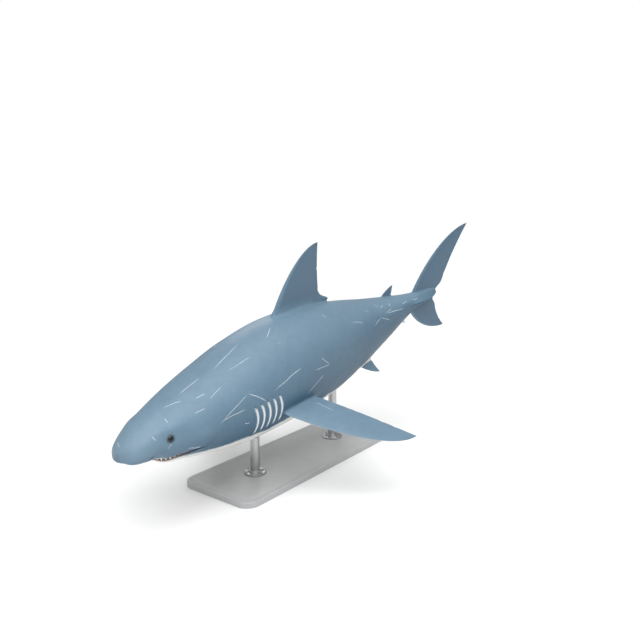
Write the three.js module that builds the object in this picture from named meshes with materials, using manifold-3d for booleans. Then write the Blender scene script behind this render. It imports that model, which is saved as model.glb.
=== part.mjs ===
// A great white shark at life size, gliding with its nose dipped and its tail swung a little to the left,
// on a display stand. Millimetres, +Z up. The nose points to -X and the left side to -Y. The origin is the
// centre of the underside of the stand's base. The shark is shaped straight and level along its own axis,
// as shares of its total length, then swung, turned and lifted.
import * as THREE from "three";
import { mergeVertices } from "three/addons/utils/BufferGeometryUtils.js";
import Module from "manifold-3d";

const wasm = await Module();
wasm.setup();

// ---------------------------------------------------------------- driving dimensions
const totalLength = 4500; // snout tip to the tip of the tail's upper lobe, along the body
const axisHeight = 900; // floor to the body's axis over the middle of the stand
const balanceAt = 0.4; // where that is, as a share of the length from the snout
const noseDown = THREE.MathUtils.degToRad(9);
const tailSwing = { reach: 0.067, from: 0.45 }; // to the left, at the tip of the tail
const noseDip = { reach: 0.006, from: 0.38 }; // of the snout's tip, out of the body's straight line
const pieceGap = 0.6; // between neighbouring pieces
const headRings = 20;
const rearRings = 32;
const bodySides = 26;
const fullness = 2.15; // exponent of the body's sections: 2 is an ellipse

const ofLength = (share) => share * totalLength;
const alongBody = (at) => ofLength(at - balanceAt);

// ---------------------------------------------------------------- body outline
// at is the share of the length from the snout tip. top and bottom are the reach above and below the axis,
// half is the half width, and mid is the height of the widest line.
const bodyStations = [
  { at: 0.0, top: 0.0, bottom: 0.0, half: 0.0, mid: -0.0095 },
  { at: 0.012, top: 0.0142, bottom: 0.0177, half: 0.026, mid: -0.0088 },
  { at: 0.03, top: 0.0252, bottom: 0.0237, half: 0.0348, mid: -0.0055 },
  { at: 0.052, top: 0.0345, bottom: 0.0292, half: 0.041, mid: -0.0005 },
  { at: 0.064, top: 0.0377, bottom: 0.0422, half: 0.0438, mid: -0.001 },
  { at: 0.09, top: 0.0448, bottom: 0.05, half: 0.053, mid: -0.003 },
  { at: 0.13, top: 0.0548, bottom: 0.062, half: 0.0645, mid: -0.005 },
  { at: 0.19, top: 0.0683, bottom: 0.0798, half: 0.0755, mid: -0.006 },
  { at: 0.26, top: 0.0824, bottom: 0.09, half: 0.0825, mid: -0.006 },
  { at: 0.35, top: 0.0905, bottom: 0.0958, half: 0.0855, mid: -0.005 },
  { at: 0.44, top: 0.0862, bottom: 0.096, half: 0.082, mid: -0.004 },
  { at: 0.54, top: 0.068, bottom: 0.085, half: 0.07, mid: -0.002 },
  { at: 0.64, top: 0.045, bottom: 0.0625, half: 0.052, mid: -0.001 },
  { at: 0.73, top: 0.0272, bottom: 0.0345, half: 0.0335, mid: 0.0 },
  { at: 0.785, top: 0.0185, bottom: 0.0188, half: 0.0215, mid: 0.0 },
  { at: 0.825, top: 0.0162, bottom: 0.0152, half: 0.014, mid: 0.0 },
  { at: 0.865, top: 0.0125, bottom: 0.0105, half: 0.0075, mid: 0.0 },
  { at: 0.89, top: 0.0, bottom: 0.0, half: 0.0, mid: 0.0 },
];
const bodyEnd = bodyStations.at(-1).at;
const keel = { from: 0.745, peak: 0.825, to: 0.89, reach: 0.0125, slimness: 0.2 };

// The body's pieces, nose to tail, each ending where the next begins.
const bodyPieces = [
  { name: "head", to: 0.176 },
  { name: "gill_section", to: 0.272 },
  { name: "trunk_front", to: 0.42 },
  { name: "trunk_rear", to: 0.58 },
  { name: "tail_front", to: 0.72 },
  { name: "tail_stalk", to: bodyEnd },
];

// ---------------------------------------------------------------- mouth, teeth, eyes, gills
const mouth = {
  corner: { at: 0.118, height: -0.0295 },
  roof: { at: 0.05, height: -0.027 },
  floor: { at: 0.05, height: -0.0358 },
  throat: { at: 0.15, height: -0.12 }, // where the jaw's back cut leaves the body
};
const upperTeeth = { perSide: 11, length: 32, width: 32, thick: 11, inset: 20, last: 0.099, root: 16 };
const lowerTeeth = { perSide: 10, length: 23, width: 20, thick: 11, inset: 36, last: 0.096, root: 18 };
const eye = { at: 0.0665, height: 0.0045, radius: 27, proud: 8 };
const gills = { first: 0.2055, last: 0.2585, count: 5, top: -0.001, bottom: -0.0545, bow: 0.0045, width: 9, depth: 22 };

// ---------------------------------------------------------------- fins
// Each fin is laid out flat, as shares of the length: chord is its root, span its height, tipBack how far
// the tip lies behind the front of the root, curl how much of that comes near the tip, hollow the depth of
// the trailing edge's curve, and rearTip the length of the free corner behind the root. thick is the
// thickness at the root and at the tip as a share of the chord, and flare the fillet at the root in
// millimetres. origin is the front of the root. lean, droop and pitch are in degrees.
const fins = {
  dorsal_fin: {
    origin: { at: 0.352, side: 0, height: 0.0905 },
    chord: 0.144,
    span: 0.1135,
    tipBack: 0.143,
    curl: 0.52,
    hollow: 0.004,
    rearTip: 0.03,
    thick: [0.1, 0.08],
    flare: 16,
    lean: 3.8,
  },
  second_dorsal_fin: {
    origin: { at: 0.682, side: 0, height: 0.0345 },
    chord: 0.045,
    span: 0.0245,
    tipBack: 0.043,
    curl: 0.3,
    hollow: 0.002,
    rearTip: 0.01,
    thick: [0.13, 0.1],
    flare: 5,
    lean: 9,
  },
  anal_fin: {
    origin: { at: 0.738, side: 0, height: -0.0308 },
    chord: 0.023,
    span: 0.0205,
    tipBack: 0.0245,
    curl: 0.3,
    hollow: 0.002,
    rearTip: 0.01,
    thick: [0.13, 0.1],
    flare: 5,
    lean: 11,
    downwards: true,
  },
  caudal_fin_upper: {
    origin: { at: 0.7775, side: 0, height: 0 },
    chord: 0.1165,
    span: 0.139,
    tipBack: 0.2225,
    curl: 0.5,
    hollow: 0.007,
    rearTip: 0,
    thick: [0.13, 0.08],
    flare: 0,
    lean: 0,
    sink: 0,
  },
  caudal_fin_lower: {
    origin: { at: 0.774, side: 0, height: 0 },
    chord: 0.1195,
    span: 0.088,
    tipBack: 0.126,
    curl: 0.85,
    hollow: 0.019,
    rearTip: 0,
    thick: [0.13, 0.08],
    flare: 0,
    lean: 0,
    sink: 0,
    downwards: true,
  },
  pectoral_fin: {
    origin: { at: 0.268, side: 0.068, height: -0.0385 },
    chord: 0.088,
    span: 0.1845,
    tipBack: 0.154,
    curl: 0.7,
    hollow: -0.001,
    rearTip: 0.008,
    thick: [0.13, 0.08],
    flare: 16,
    sag: 0.01,
    droop: 19,
    pitch: 3,
    paired: true,
  },
  pelvic_fin: {
    origin: { at: 0.55, side: 0.033, height: -0.069 },
    chord: 0.047,
    span: 0.034,
    tipBack: 0.046,
    curl: 0.35,
    hollow: 0.002,
    rearTip: 0.012,
    thick: [0.12, 0.1],
    flare: 8,
    droop: 56,
    pitch: -5,
    paired: true,
  },
};
const finRoot = 0.025; // how deep a fin's root runs into the body, as a share of the length
const finRows = 9;
const finColumns = 6;
const finEdge = 4; // least thickness, at the trailing edge

// ---------------------------------------------------------------- stand
const stand = {
  length: 1900,
  width: 720,
  thickness: 46,
  cornerRadius: 110,
  bevel: 6,
  postRadius: 38,
  postsAt: [0.29, 0.52],
  collar: { radius: 88, height: 34, lip: 10 },
};

// ---------------------------------------------------------------- materials
const finish = (color, roughness, metalness = 0) => new THREE.MeshStandardMaterial({ color, roughness, metalness });
const slateSkin = finish(0x6f8ea6, 0.5);
const paleSkin = finish(0xe9edee, 0.5);
const eyeBlack = finish(0x0b0d10, 0.1);
const standPaint = finish(0xc9cbcc, 0.45);
const brushedSteel = finish(0xb4b7ba, 0.3, 1);

// ---------------------------------------------------------------- tools for shapes
// A curve through the points that doesn't overshoot between them (Fritsch and Carlson's slopes).
function smoothThrough(xs, ys) {
  const last = xs.length - 1;
  const rise = xs.slice(1).map((x, i) => (ys[i + 1] - ys[i]) / (x - xs[i]));
  const slopes = ys.map((_, i) => {
    if (i === 0) return rise[0];
    if (i === last) return rise[last - 1];
    if (rise[i - 1] * rise[i] <= 0) return 0;
    const before = xs[i] - xs[i - 1];
    const after = xs[i + 1] - xs[i];
    return (3 * (before + after)) / ((2 * after + before) / rise[i - 1] + (after + 2 * before) / rise[i]);
  });
  return (x) => {
    const i = Math.min(Math.max(xs.findLastIndex((knot) => knot <= x), 0), last - 1);
    const width = xs[i + 1] - xs[i];
    const t = THREE.MathUtils.clamp((x - xs[i]) / width, 0, 1);
    const turned = 1 - t;
    return (
      ys[i] * (1 + 2 * t) * turned * turned +
      slopes[i] * width * t * turned * turned +
      ys[i + 1] * t * t * (3 - 2 * t) -
      slopes[i + 1] * width * t * t * turned
    );
  };
}

// Closed skin over rings of points. A ring of one point is a tip, and any other end ring gets a flat cap.
function loft(rings) {
  const positions = rings.flat().flatMap((p) => [p.x, p.y, p.z]);
  const starts = rings.map((_, i) => rings.slice(0, i).reduce((sum, ring) => sum + ring.length, 0));
  const faces = [];
  for (let i = 0; i + 1 < rings.length; i++) {
    const sides = Math.max(rings[i].length, rings[i + 1].length);
    for (let j = 0; j < sides; j++) {
      const k = (j + 1) % sides;
      const [a, b] = [starts[i] + (j % rings[i].length), starts[i] + (k % rings[i].length)];
      const [c, d] = [starts[i + 1] + (j % rings[i + 1].length), starts[i + 1] + (k % rings[i + 1].length)];
      if (a !== b) faces.push(a, b, d);
      if (c !== d) faces.push(a, d, c);
    }
  }
  const capped = (ring, start, turned) => {
    if (ring.length === 1) return;
    const centre = ring.reduce((sum, p) => sum.add(p), new THREE.Vector3()).divideScalar(ring.length);
    const middle = positions.push(centre.x, centre.y, centre.z) / 3 - 1;
    for (let j = 0; j < ring.length; j++) {
      const pair = [start + j, start + ((j + 1) % ring.length)];
      faces.push(middle, ...(turned ? pair : pair.reverse()));
    }
  };
  capped(rings[0], starts[0], false);
  capped(rings.at(-1), starts.at(-1), true);
  return new THREE.BufferGeometry()
    .setAttribute("position", new THREE.Float32BufferAttribute(positions, 3))
    .setIndex(faces);
}

// A closed geometry as a solid that can be joined and cut, facing out whichever way it was wound.
function solid(geometry) {
  const bare = geometry.index ? geometry.toNonIndexed() : geometry.clone();
  const merged = mergeVertices(
    new THREE.BufferGeometry().setAttribute("position", bare.getAttribute("position")),
    1e-3,
  );
  const make = (triVerts) =>
    new wasm.Manifold(
      new wasm.Mesh({ numProp: 3, vertProperties: merged.attributes.position.array, triVerts }),
    );
  const faces = new Uint32Array(merged.index.array);
  const made = make(faces);
  return made.volume() > 0 ? made : make(faces.reverse());
}

function geometryOf(shape) {
  const mesh = shape.getMesh();
  return new THREE.BufferGeometry()
    .setAttribute("position", new THREE.BufferAttribute(mesh.vertProperties.slice(), 3))
    .setIndex(new THREE.BufferAttribute(mesh.triVerts.slice(), 1));
}

const largest = (shape) => shape.decompose().sort((a, b) => b.volume() - a.volume())[0];

// An outline in the X-Z plane, [share along, share up], pushed through the body from side to side.
function prism(outline, halfWidth = 0.15) {
  const shape = new THREE.Shape(outline.map(([at, up]) => new THREE.Vector2(alongBody(at), ofLength(up))));
  const geometry = new THREE.ExtrudeGeometry(shape, { depth: ofLength(2 * halfWidth), bevelEnabled: false });
  geometry.rotateX(Math.PI / 2);
  geometry.translate(0, ofLength(halfWidth), 0);
  return geometry;
}

// ---------------------------------------------------------------- body
const stationPlaces = bodyStations.map(({ at }) => at);
const squaredReach = (key) => smoothThrough(stationPlaces, bodyStations.map((row) => row[key] ** 2));
const reach = { top: squaredReach("top"), bottom: squaredReach("bottom"), half: squaredReach("half") };
const widestHeight = smoothThrough(stationPlaces, bodyStations.map((row) => row.mid));

function keelReach(at) {
  if (at <= keel.from || at >= keel.to) return 0;
  const share = at < keel.peak ? (at - keel.from) / (keel.peak - keel.from) : (keel.to - at) / (keel.to - keel.peak);
  return ofLength(keel.reach) * Math.sin((share * Math.PI) / 2) ** 2;
}

// The body's section at a place: its own sizes in millimetres, grown by grow.
function section(at, grow = 0) {
  const size = (key) => ofLength(Math.sqrt(Math.max(reach[key](at), 0))) + grow;
  return { top: size("top"), bottom: size("bottom"), half: size("half"), mid: ofLength(widestHeight(at)) };
}

function bodyPoint(at, angle, grow = 0) {
  const { top, bottom, half, mid } = section(at, grow);
  const [across, up] = [Math.cos(angle), Math.sin(angle)];
  const bulge = (value) => Math.sign(value) * Math.abs(value) ** (2 / fullness);
  const ridge = keelReach(at) * Math.exp(-((up / keel.slimness) ** 2));
  return new THREE.Vector3(
    alongBody(at),
    bulge(across) * half + Math.sign(across) * ridge,
    mid + bulge(up) * (up > 0 ? top - mid : bottom + mid),
  );
}

// Half the body's width at a place and a height, both as shares.
function halfWidthAt(at, height) {
  const { top, bottom, half, mid } = section(at);
  const rise = ofLength(height) - mid;
  const share = Math.min(Math.abs(rise) / (rise > 0 ? top - mid : bottom + mid), 1);
  return half * (1 - share ** fullness) ** (1 / fullness);
}

// Rings stand closer on the head, and closest at the snout, where the outline turns fastest.
const headEnd = bodyPieces[0].to;
const ringPlaces = [
  ...Array.from({ length: headRings }, (_, i) => headEnd * (i / headRings) ** 1.15),
  ...Array.from({ length: rearRings + 1 }, (_, i) => THREE.MathUtils.lerp(headEnd, bodyEnd, i / rearRings)),
];

// The whole body, grown by grow all round. Its two tips move out with it.
function bodySolid(grow = 0) {
  const sides = Array.from({ length: bodySides }, (_, j) => (2 * Math.PI * j) / bodySides);
  const rings = ringPlaces.slice(1, -1).map((at) => sides.map((angle) => bodyPoint(at, angle, grow)));
  const tip = (at, shift) => [new THREE.Vector3(alongBody(at) + shift, 0, ofLength(widestHeight(at)))];
  return solid(loft([tip(0, -grow), ...rings, tip(bodyEnd, grow)]));
}

// ---------------------------------------------------------------- fins
// The places of a fin's leading and trailing edges at a share of its span, as shares of the length.
function finEdges({ chord, tipBack, curl, hollow, rearTip }, v) {
  const out = Math.max(v, 0);
  const corner = rearTip * Math.exp(-((out / 0.09) ** 2));
  return {
    lead: tipBack * ((1 - curl) * v + curl * (1 - Math.sqrt(1 - out ** 2))),
    trail: THREE.MathUtils.lerp(chord, tipBack, out) - hollow * Math.sin(Math.PI * out ** 0.8) + corner,
  };
}

// Half the thickness of a streamlined section at a share of its chord, where its full thickness is 1.
const streamline = (u) =>
  2.5 * (0.2969 * Math.sqrt(u) - 0.126 * u - 0.3516 * u ** 2 + 0.2843 * u ** 3 - 0.1036 * u ** 4);

// A fin in its own frame: chord along X, thickness along Y, span along Z, before it is placed.
function finRings(fin) {
  const { span, thick, flare, sag = 0, sink = finRoot } = fin;
  const rings = [];
  for (let i = 0; i <= finRows; i++) {
    const v = THREE.MathUtils.lerp(-sink / span, 1, 1 - (1 - i / finRows) ** 1.5);
    const height = ofLength(v * span);
    const { lead, trail } = finEdges(fin, v);
    const sway = -ofLength(sag) * Math.max(v, 0) ** 2;
    if (i === finRows) {
      rings.push([new THREE.Vector3(ofLength(lead), sway, height)]);
      continue;
    }
    const full = ofLength(trail - lead) * THREE.MathUtils.lerp(...thick, Math.max(v, 0));
    const fillet = flare && flare * Math.exp(-((Math.max(height, 0) / (2.5 * flare)) ** 2));
    const ring = [];
    for (let j = 0; j < 2 * finColumns; j++) {
      const side = j < finColumns ? 1 : -1;
      const share = (side > 0 ? j + 0.5 : 2 * finColumns - j - 0.5) / finColumns;
      const u = share ** 2;
      const blunt = (finEdge / 2) * Math.sqrt(Math.min(u * 12, 1));
      const half = Math.max(streamline(u) * full, blunt) + fillet * (1 - u);
      ring.push(new THREE.Vector3(ofLength(THREE.MathUtils.lerp(lead, trail, u)), side * half + sway, height));
    }
    rings.push(ring);
  }
  return rings;
}

// Where a fin stands on the body. side is -1 for the left fin of a pair, 1 for the right one, 0 for a
// fin on the middle line.
function finFrame({ origin, lean = 0, droop = 0, pitch = 0, downwards = false }, side) {
  const radians = THREE.MathUtils.degToRad;
  const chord = new THREE.Vector3(1, 0, 0);
  const span = new THREE.Vector3(0, 0, 1);
  if (side) {
    span.set(0, side * Math.cos(radians(droop)), -Math.sin(radians(droop)));
    chord.applyAxisAngle(new THREE.Vector3(0, 1, 0), radians(pitch));
  } else {
    const turn = radians(downwards ? -lean : lean);
    chord.set(Math.cos(turn), 0, -Math.sin(turn));
    span.set(Math.sin(turn), 0, Math.cos(turn)).multiplyScalar(downwards ? -1 : 1);
  }
  const normal = new THREE.Vector3().crossVectors(span, chord);
  if (side > 0) normal.negate();
  return new THREE.Matrix4()
    .makeBasis(chord, normal, span)
    .setPosition(alongBody(origin.at), side * ofLength(origin.side), ofLength(origin.height));
}

const finSolid = (fin, side = 0) => solid(loft(finRings(fin)).applyMatrix4(finFrame(fin, side)));

// ---------------------------------------------------------------- head
// A run of teeth set round the edge of a jaw, each a flattened spike, evenly spaced from the middle out.
function toothRow({ perSide, length, width, thick, inset, last, root }, edgeHeight, points) {
  const edge = [];
  for (let at = 0.045; at <= last; at += 0.0005) {
    const across = halfWidthAt(at, edgeHeight(at)) - inset;
    if (across > 0) edge.push(new THREE.Vector2(alongBody(at), across));
  }
  const run = edge.map((p, i) => (i ? p.distanceTo(edge[i - 1]) : 0));
  run.forEach((step, i) => i && (run[i] = run[i - 1] + step));
  const spikes = [];
  for (let k = 0; k < perSide; k++) {
    const wanted = (run.at(-1) * (k + 0.5)) / perSide;
    const i = Math.max(run.findIndex((r) => r >= wanted), 1);
    const along = edge[i].clone().sub(edge[i - 1]).normalize();
    const shrink = 1 - 0.62 * (k / (perSide - 1)) ** 1.5;
    for (const side of [-1, 1]) {
      const spike = new THREE.ConeGeometry(Math.SQRT1_2, 1, 4).rotateY(Math.PI / 4).rotateX(Math.PI / 2);
      spike.scale(width * shrink, thick * shrink, length * shrink + root);
      spike.rotateZ(Math.atan2(side * along.y, along.x));
      if (points < 0) spike.rotateX(Math.PI);
      const height = ofLength(edgeHeight(edge[i].x / totalLength + balanceAt));
      spike.translate(edge[i].x, side * edge[i].y, height + points * ((length * shrink - root) / 2));
      spikes.push(solid(spike));
    }
  }
  return spikes;
}

// A straight line between two places, as a height at any place.
const lineThrough = (a, b) => (at) => a.height + ((at - a.at) * (b.height - a.height)) / (b.at - a.at);

function gillGroove(at) {
  const { top, bottom, bow, width } = gills;
  const steps = 4;
  const half = width / 2 / totalLength;
  const middle = Array.from({ length: steps + 1 }, (_, i) => {
    const t = i / steps;
    return [at + bow * Math.sin(Math.PI * t), THREE.MathUtils.lerp(bottom, top, t)];
  });
  const front = middle.map(([a, h], i) => [a - (i % steps ? half : half / 3), h]);
  const back = middle.map(([a, h], i) => [a + (i % steps ? half : half / 3), h]).reverse();
  return solid(prism([...front, ...back]));
}

function eyeball(side) {
  const outwards = halfWidthAt(eye.at, eye.height) + eye.proud - eye.radius;
  return new THREE.Vector3(alongBody(eye.at), side * outwards, ofLength(eye.height));
}

const ball = (centre, radius) =>
  new THREE.SphereGeometry(radius, 14, 8).rotateX(Math.PI / 2).translate(centre.x, centre.y, centre.z);

// ---------------------------------------------------------------- pose
// Swings the tail to the left and dips the snout, each more towards its end of the body.
function bent(geometry) {
  const place = geometry.getAttribute("position");
  for (let i = 0; i < place.count; i++) {
    const at = place.getX(i) / totalLength + balanceAt;
    const behind = Math.max(at - tailSwing.from, 0) / (1 - tailSwing.from);
    const ahead = Math.max(noseDip.from - at, 0) / noseDip.from;
    place.setY(i, place.getY(i) - ofLength(tailSwing.reach) * behind ** 2);
    place.setZ(i, place.getZ(i) - ofLength(noseDip.reach) * ahead ** 2);
  }
  return geometry;
}

const pose = new THREE.Matrix4().makeRotationY(-noseDown).setPosition(0, 0, axisHeight);

// ---------------------------------------------------------------- the pieces
const model = new THREE.Group();
const shark = new THREE.Group();
shark.applyMatrix4(pose);
model.add(shark);

function addPiece(group, name, geometry, material) {
  const mesh = new THREE.Mesh(geometry, material.clone());
  mesh.name = name;
  group.add(mesh);
}
const addFlesh = (name, shape, material) => addPiece(shark, name, bent(geometryOf(shape)), material);

const wholeBody = bodySolid();
const bodyAndGap = bodySolid(pieceGap);

function addBodyPieces() {
  const gapShare = pieceGap / totalLength / 2;
  const { corner, roof, floor, throat } = mouth;
  const gape = solid(prism([[corner.at, corner.height], [roof.at, roof.height], [floor.at, floor.height]]));
  const roofLine = lineThrough(corner, roof);
  const floorLine = lineThrough(corner, floor);
  const front = roof.at - 0.03;
  const middle = (roofLine(front) + floorLine(front)) / 2;
  const jawBlock = (slack) =>
    solid(
      prism([
        [corner.at + slack, corner.height],
        [throat.at + slack, throat.height],
        [front, throat.height],
        [front, middle],
      ]),
    );
  let from = 0;
  for (const { name, to } of bodyPieces) {
    const [start, end] = [from ? from + gapShare : -0.01, to < bodyEnd ? to - gapShare : to + 0.01];
    from = to;
    let piece = wholeBody.intersect(solid(prism([[start, -0.2], [end, -0.2], [end, 0.2], [start, 0.2]])));
    if (name === "head") {
      const open = piece.subtract(gape);
      let jaw = open.intersect(jawBlock(-gapShare));
      let skull = open.subtract(jawBlock(gapShare));
      for (const side of [-1, 1]) skull = skull.subtract(solid(ball(eyeball(side), eye.radius + pieceGap)));
      for (const tooth of toothRow(upperTeeth, roofLine, -1)) skull = skull.add(tooth);
      for (const tooth of toothRow(lowerTeeth, floorLine, 1)) jaw = jaw.add(tooth);
      addFlesh("lower_jaw", jaw, paleSkin);
      piece = skull;
    }
    if (name === "gill_section") {
      const core = bodySolid(-gills.depth);
      for (let i = 0; i < gills.count; i++) {
        const at = THREE.MathUtils.lerp(gills.first, gills.last, i / (gills.count - 1));
        piece = piece.subtract(gillGroove(at).subtract(core));
      }
    }
    addFlesh(name, piece, slateSkin);
  }
}

function addFins() {
  for (const [name, fin] of Object.entries(fins)) {
    for (const side of fin.paired ? [-1, 1] : [0]) {
      const outside = finSolid(fin, side).subtract(bodyAndGap);
      addFlesh(side ? `${name}_${side < 0 ? "left" : "right"}` : name, largest(outside), slateSkin);
    }
  }
}

function addEyes() {
  for (const side of [-1, 1]) {
    addPiece(shark, side < 0 ? "eye_left" : "eye_right", bent(ball(eyeball(side), eye.radius)), eyeBlack);
  }
}

function addStand() {
  const { length, width, thickness, cornerRadius, bevel, postRadius, postsAt, collar } = stand;
  const [x, y, r] = [length / 2 - bevel, width / 2 - bevel, cornerRadius - bevel];
  const outline = new THREE.Shape()
    .moveTo(-x + r, -y)
    .lineTo(x - r, -y)
    .absarc(x - r, -y + r, r, -Math.PI / 2, 0)
    .lineTo(x, y - r)
    .absarc(x - r, y - r, r, 0, Math.PI / 2)
    .lineTo(-x + r, y)
    .absarc(-x + r, y - r, r, Math.PI / 2, Math.PI)
    .lineTo(-x, -y + r)
    .absarc(-x + r, -y + r, r, Math.PI, 1.5 * Math.PI);
  const base = new THREE.ExtrudeGeometry(outline, {
    depth: thickness - 2 * bevel,
    bevelThickness: bevel,
    bevelSize: bevel,
    bevelSegments: 1,
    curveSegments: 6,
  });
  addPiece(model, "stand_base", base.translate(0, 0, bevel), standPaint);

  const skin = solid(bent(geometryOf(bodyAndGap)).applyMatrix4(pose));
  postsAt.forEach((at, i) => {
    const where = i ? "rear" : "front";
    const postX = alongBody(at);
    const foot = thickness + pieceGap;
    const post = new THREE.CylinderGeometry(postRadius, postRadius, axisHeight - foot, 24)
      .rotateX(Math.PI / 2)
      .translate(postX, 0, (axisHeight + foot) / 2);
    addPiece(model, `stand_post_${where}`, geometryOf(largest(solid(post).subtract(skin))), brushedSteel);

    const inner = postRadius + pieceGap;
    const profile = [
      [inner, 0],
      [collar.radius, 0],
      [collar.radius, collar.lip],
      [inner + collar.lip, collar.height],
      [inner, collar.height],
      [inner, 0],
    ].map(([radius, height]) => new THREE.Vector2(radius, height));
    const ring = new THREE.LatheGeometry(profile, 24).rotateX(Math.PI / 2).translate(postX, 0, foot);
    addPiece(model, `stand_collar_${where}`, geometryOf(solid(ring)), brushedSteel);
  });
}

addBodyPieces();
addFins();
addEyes();
addStand();

export default model;
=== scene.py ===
import math
import bpy
import numpy as np
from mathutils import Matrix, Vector
from mathutils.bvhtree import BVHTree


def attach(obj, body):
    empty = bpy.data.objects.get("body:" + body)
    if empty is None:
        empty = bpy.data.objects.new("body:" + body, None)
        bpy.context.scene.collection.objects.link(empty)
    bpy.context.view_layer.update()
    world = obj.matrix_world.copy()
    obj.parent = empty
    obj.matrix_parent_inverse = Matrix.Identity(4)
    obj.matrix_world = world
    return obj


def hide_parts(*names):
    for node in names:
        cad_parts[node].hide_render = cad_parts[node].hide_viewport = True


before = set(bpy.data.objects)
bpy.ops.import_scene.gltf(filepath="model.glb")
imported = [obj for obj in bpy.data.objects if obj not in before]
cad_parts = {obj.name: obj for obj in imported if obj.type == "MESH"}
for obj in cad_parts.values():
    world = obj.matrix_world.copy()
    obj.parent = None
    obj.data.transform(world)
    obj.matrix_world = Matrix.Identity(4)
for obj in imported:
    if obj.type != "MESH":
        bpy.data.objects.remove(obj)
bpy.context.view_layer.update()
print("frame loaded:", len(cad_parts), "nodes")

# The shark is shaped straight and level along X, snout first, in metres from the point over the middle of
# the stand. Places and sizes given as shares are shares of its total length. pose() bends and tips it.
shark = {
    "length": 4.5,
    "axisHeight": 0.9,    # floor to the body's axis over the stand
    "balanceAt": 0.4,     # where that is, as a share of the length
    "noseDown": 9.0,      # degrees
    "tailSwing": 0.067,    # to the left, at the tip of the tail
    "swingFrom": 0.45,
    "noseDip": 0.006,     # of the snout's tip
    "dipFrom": 0.38,
    "fullness": 2.15,     # exponent of the sections, 2 is an ellipse
}
length = shark["length"]

# place, reach above, reach below, half width, height of the widest line
outline = [
    (0.0, 0.0, 0.0, 0.0, -0.0095),
    (0.012, 0.0142, 0.0177, 0.026, -0.0088),
    (0.03, 0.0252, 0.0237, 0.0348, -0.0055),
    (0.052, 0.0345, 0.0292, 0.041, -0.0005),
    (0.064, 0.0377, 0.0422, 0.0438, -0.001),
    (0.09, 0.0448, 0.05, 0.053, -0.003),
    (0.13, 0.0548, 0.062, 0.0645, -0.005),
    (0.19, 0.0683, 0.0798, 0.0755, -0.006),
    (0.26, 0.0824, 0.09, 0.0825, -0.006),
    (0.35, 0.0905, 0.0958, 0.0855, -0.005),
    (0.44, 0.0862, 0.096, 0.082, -0.004),
    (0.54, 0.068, 0.085, 0.07, -0.002),
    (0.64, 0.045, 0.0625, 0.052, -0.001),
    (0.73, 0.0272, 0.0345, 0.0335, 0.0),
    (0.785, 0.0185, 0.0188, 0.0215, 0.0),
    (0.825, 0.0162, 0.0152, 0.014, 0.0),
    (0.865, 0.0125, 0.0105, 0.0075, 0.0),
    (0.883, 0.0, 0.0, 0.0, 0.0),
]
bodyEnd = outline[-1][0]


def alongBody(at):
    return (at - shark["balanceAt"]) * length


def smoothThrough(xs, ys):
    # a curve through the points that never overshoots between them
    xs, ys = np.array(xs, float), np.array(ys, float)
    step = np.diff(xs)
    rise = np.diff(ys) / step
    slope = np.concatenate([rise[:1], np.zeros(len(xs) - 2), rise[-1:]])
    for i in range(1, len(xs) - 1):
        if rise[i - 1] * rise[i] > 0:
            before, after = step[i - 1], step[i]
            slope[i] = 3 * (before + after) / (
                (2 * after + before) / rise[i - 1] + (after + 2 * before) / rise[i])

    def curve(x):
        x = np.asarray(x, float)
        i = np.clip(np.searchsorted(xs, x, side="right") - 1, 0, len(step) - 1)
        t = np.clip((x - xs[i]) / step[i], 0, 1)
        return (ys[i] * (1 + 2 * t) * (1 - t) ** 2 + slope[i] * step[i] * t * (1 - t) ** 2
                + ys[i + 1] * t * t * (3 - 2 * t) - slope[i + 1] * step[i] * t * t * (1 - t))
    return curve


def ramp(x, low, high):
    t = np.clip((np.asarray(x, float) - low) / (high - low), 0, 1)
    return t * t * (3 - 2 * t)


def turns(count):
    return np.linspace(0, 2 * math.pi, count, endpoint=False)


def unit(ways):
    return ways / np.linalg.norm(ways, axis=-1, keepdims=True)


def runAlong(path):
    # how far along a path each of its points lies
    return np.concatenate([[0], np.cumsum(np.linalg.norm(np.diff(path, axis=0), axis=1))])


outlinePlaces = [row[0] for row in outline]
topSquared, bottomSquared, halfSquared = (
    smoothThrough(outlinePlaces, [row[k] ** 2 for row in outline]) for k in (1, 2, 3))
widestLine = smoothThrough(outlinePlaces, [row[4] for row in outline])
keel = {"from": 0.745, "peak": 0.825, "to": 0.883, "reach": 0.0125, "slimness": 0.2}


def section(at):
    reach = [length * np.sqrt(np.maximum(f(at), 0)) for f in (topSquared, bottomSquared, halfSquared)]
    return (*reach, length * widestLine(at))


def keelReach(at):
    rising = (at - keel["from"]) / (keel["peak"] - keel["from"])
    falling = (keel["to"] - at) / (keel["to"] - keel["peak"])
    share = np.clip(np.minimum(rising, falling), 0, 1)
    return length * keel["reach"] * np.sin(share * math.pi / 2) ** 2


def bodyPoints(at, angle):
    top, bottom, half, mid = section(at)
    across, up = np.cos(angle), np.sin(angle)
    power = 2 / shark["fullness"]
    ridge = keelReach(at) * np.exp(-(up / keel["slimness"]) ** 2)
    y = np.sign(across) * (np.abs(across) ** power * half + ridge)
    z = mid + np.sign(up) * np.abs(up) ** power * np.where(up > 0, top - mid, bottom + mid)
    return np.stack(np.broadcast_arrays(alongBody(at), y, z), -1)


def halfWidthAt(at, height):
    top, bottom, half, mid = section(at)
    rise = height * length - mid
    share = np.clip(np.abs(rise) / np.where(rise > 0, top - mid, bottom + mid), 0, 1)
    return half * (1 - share ** shark["fullness"]) ** (1 / shark["fullness"])


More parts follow.
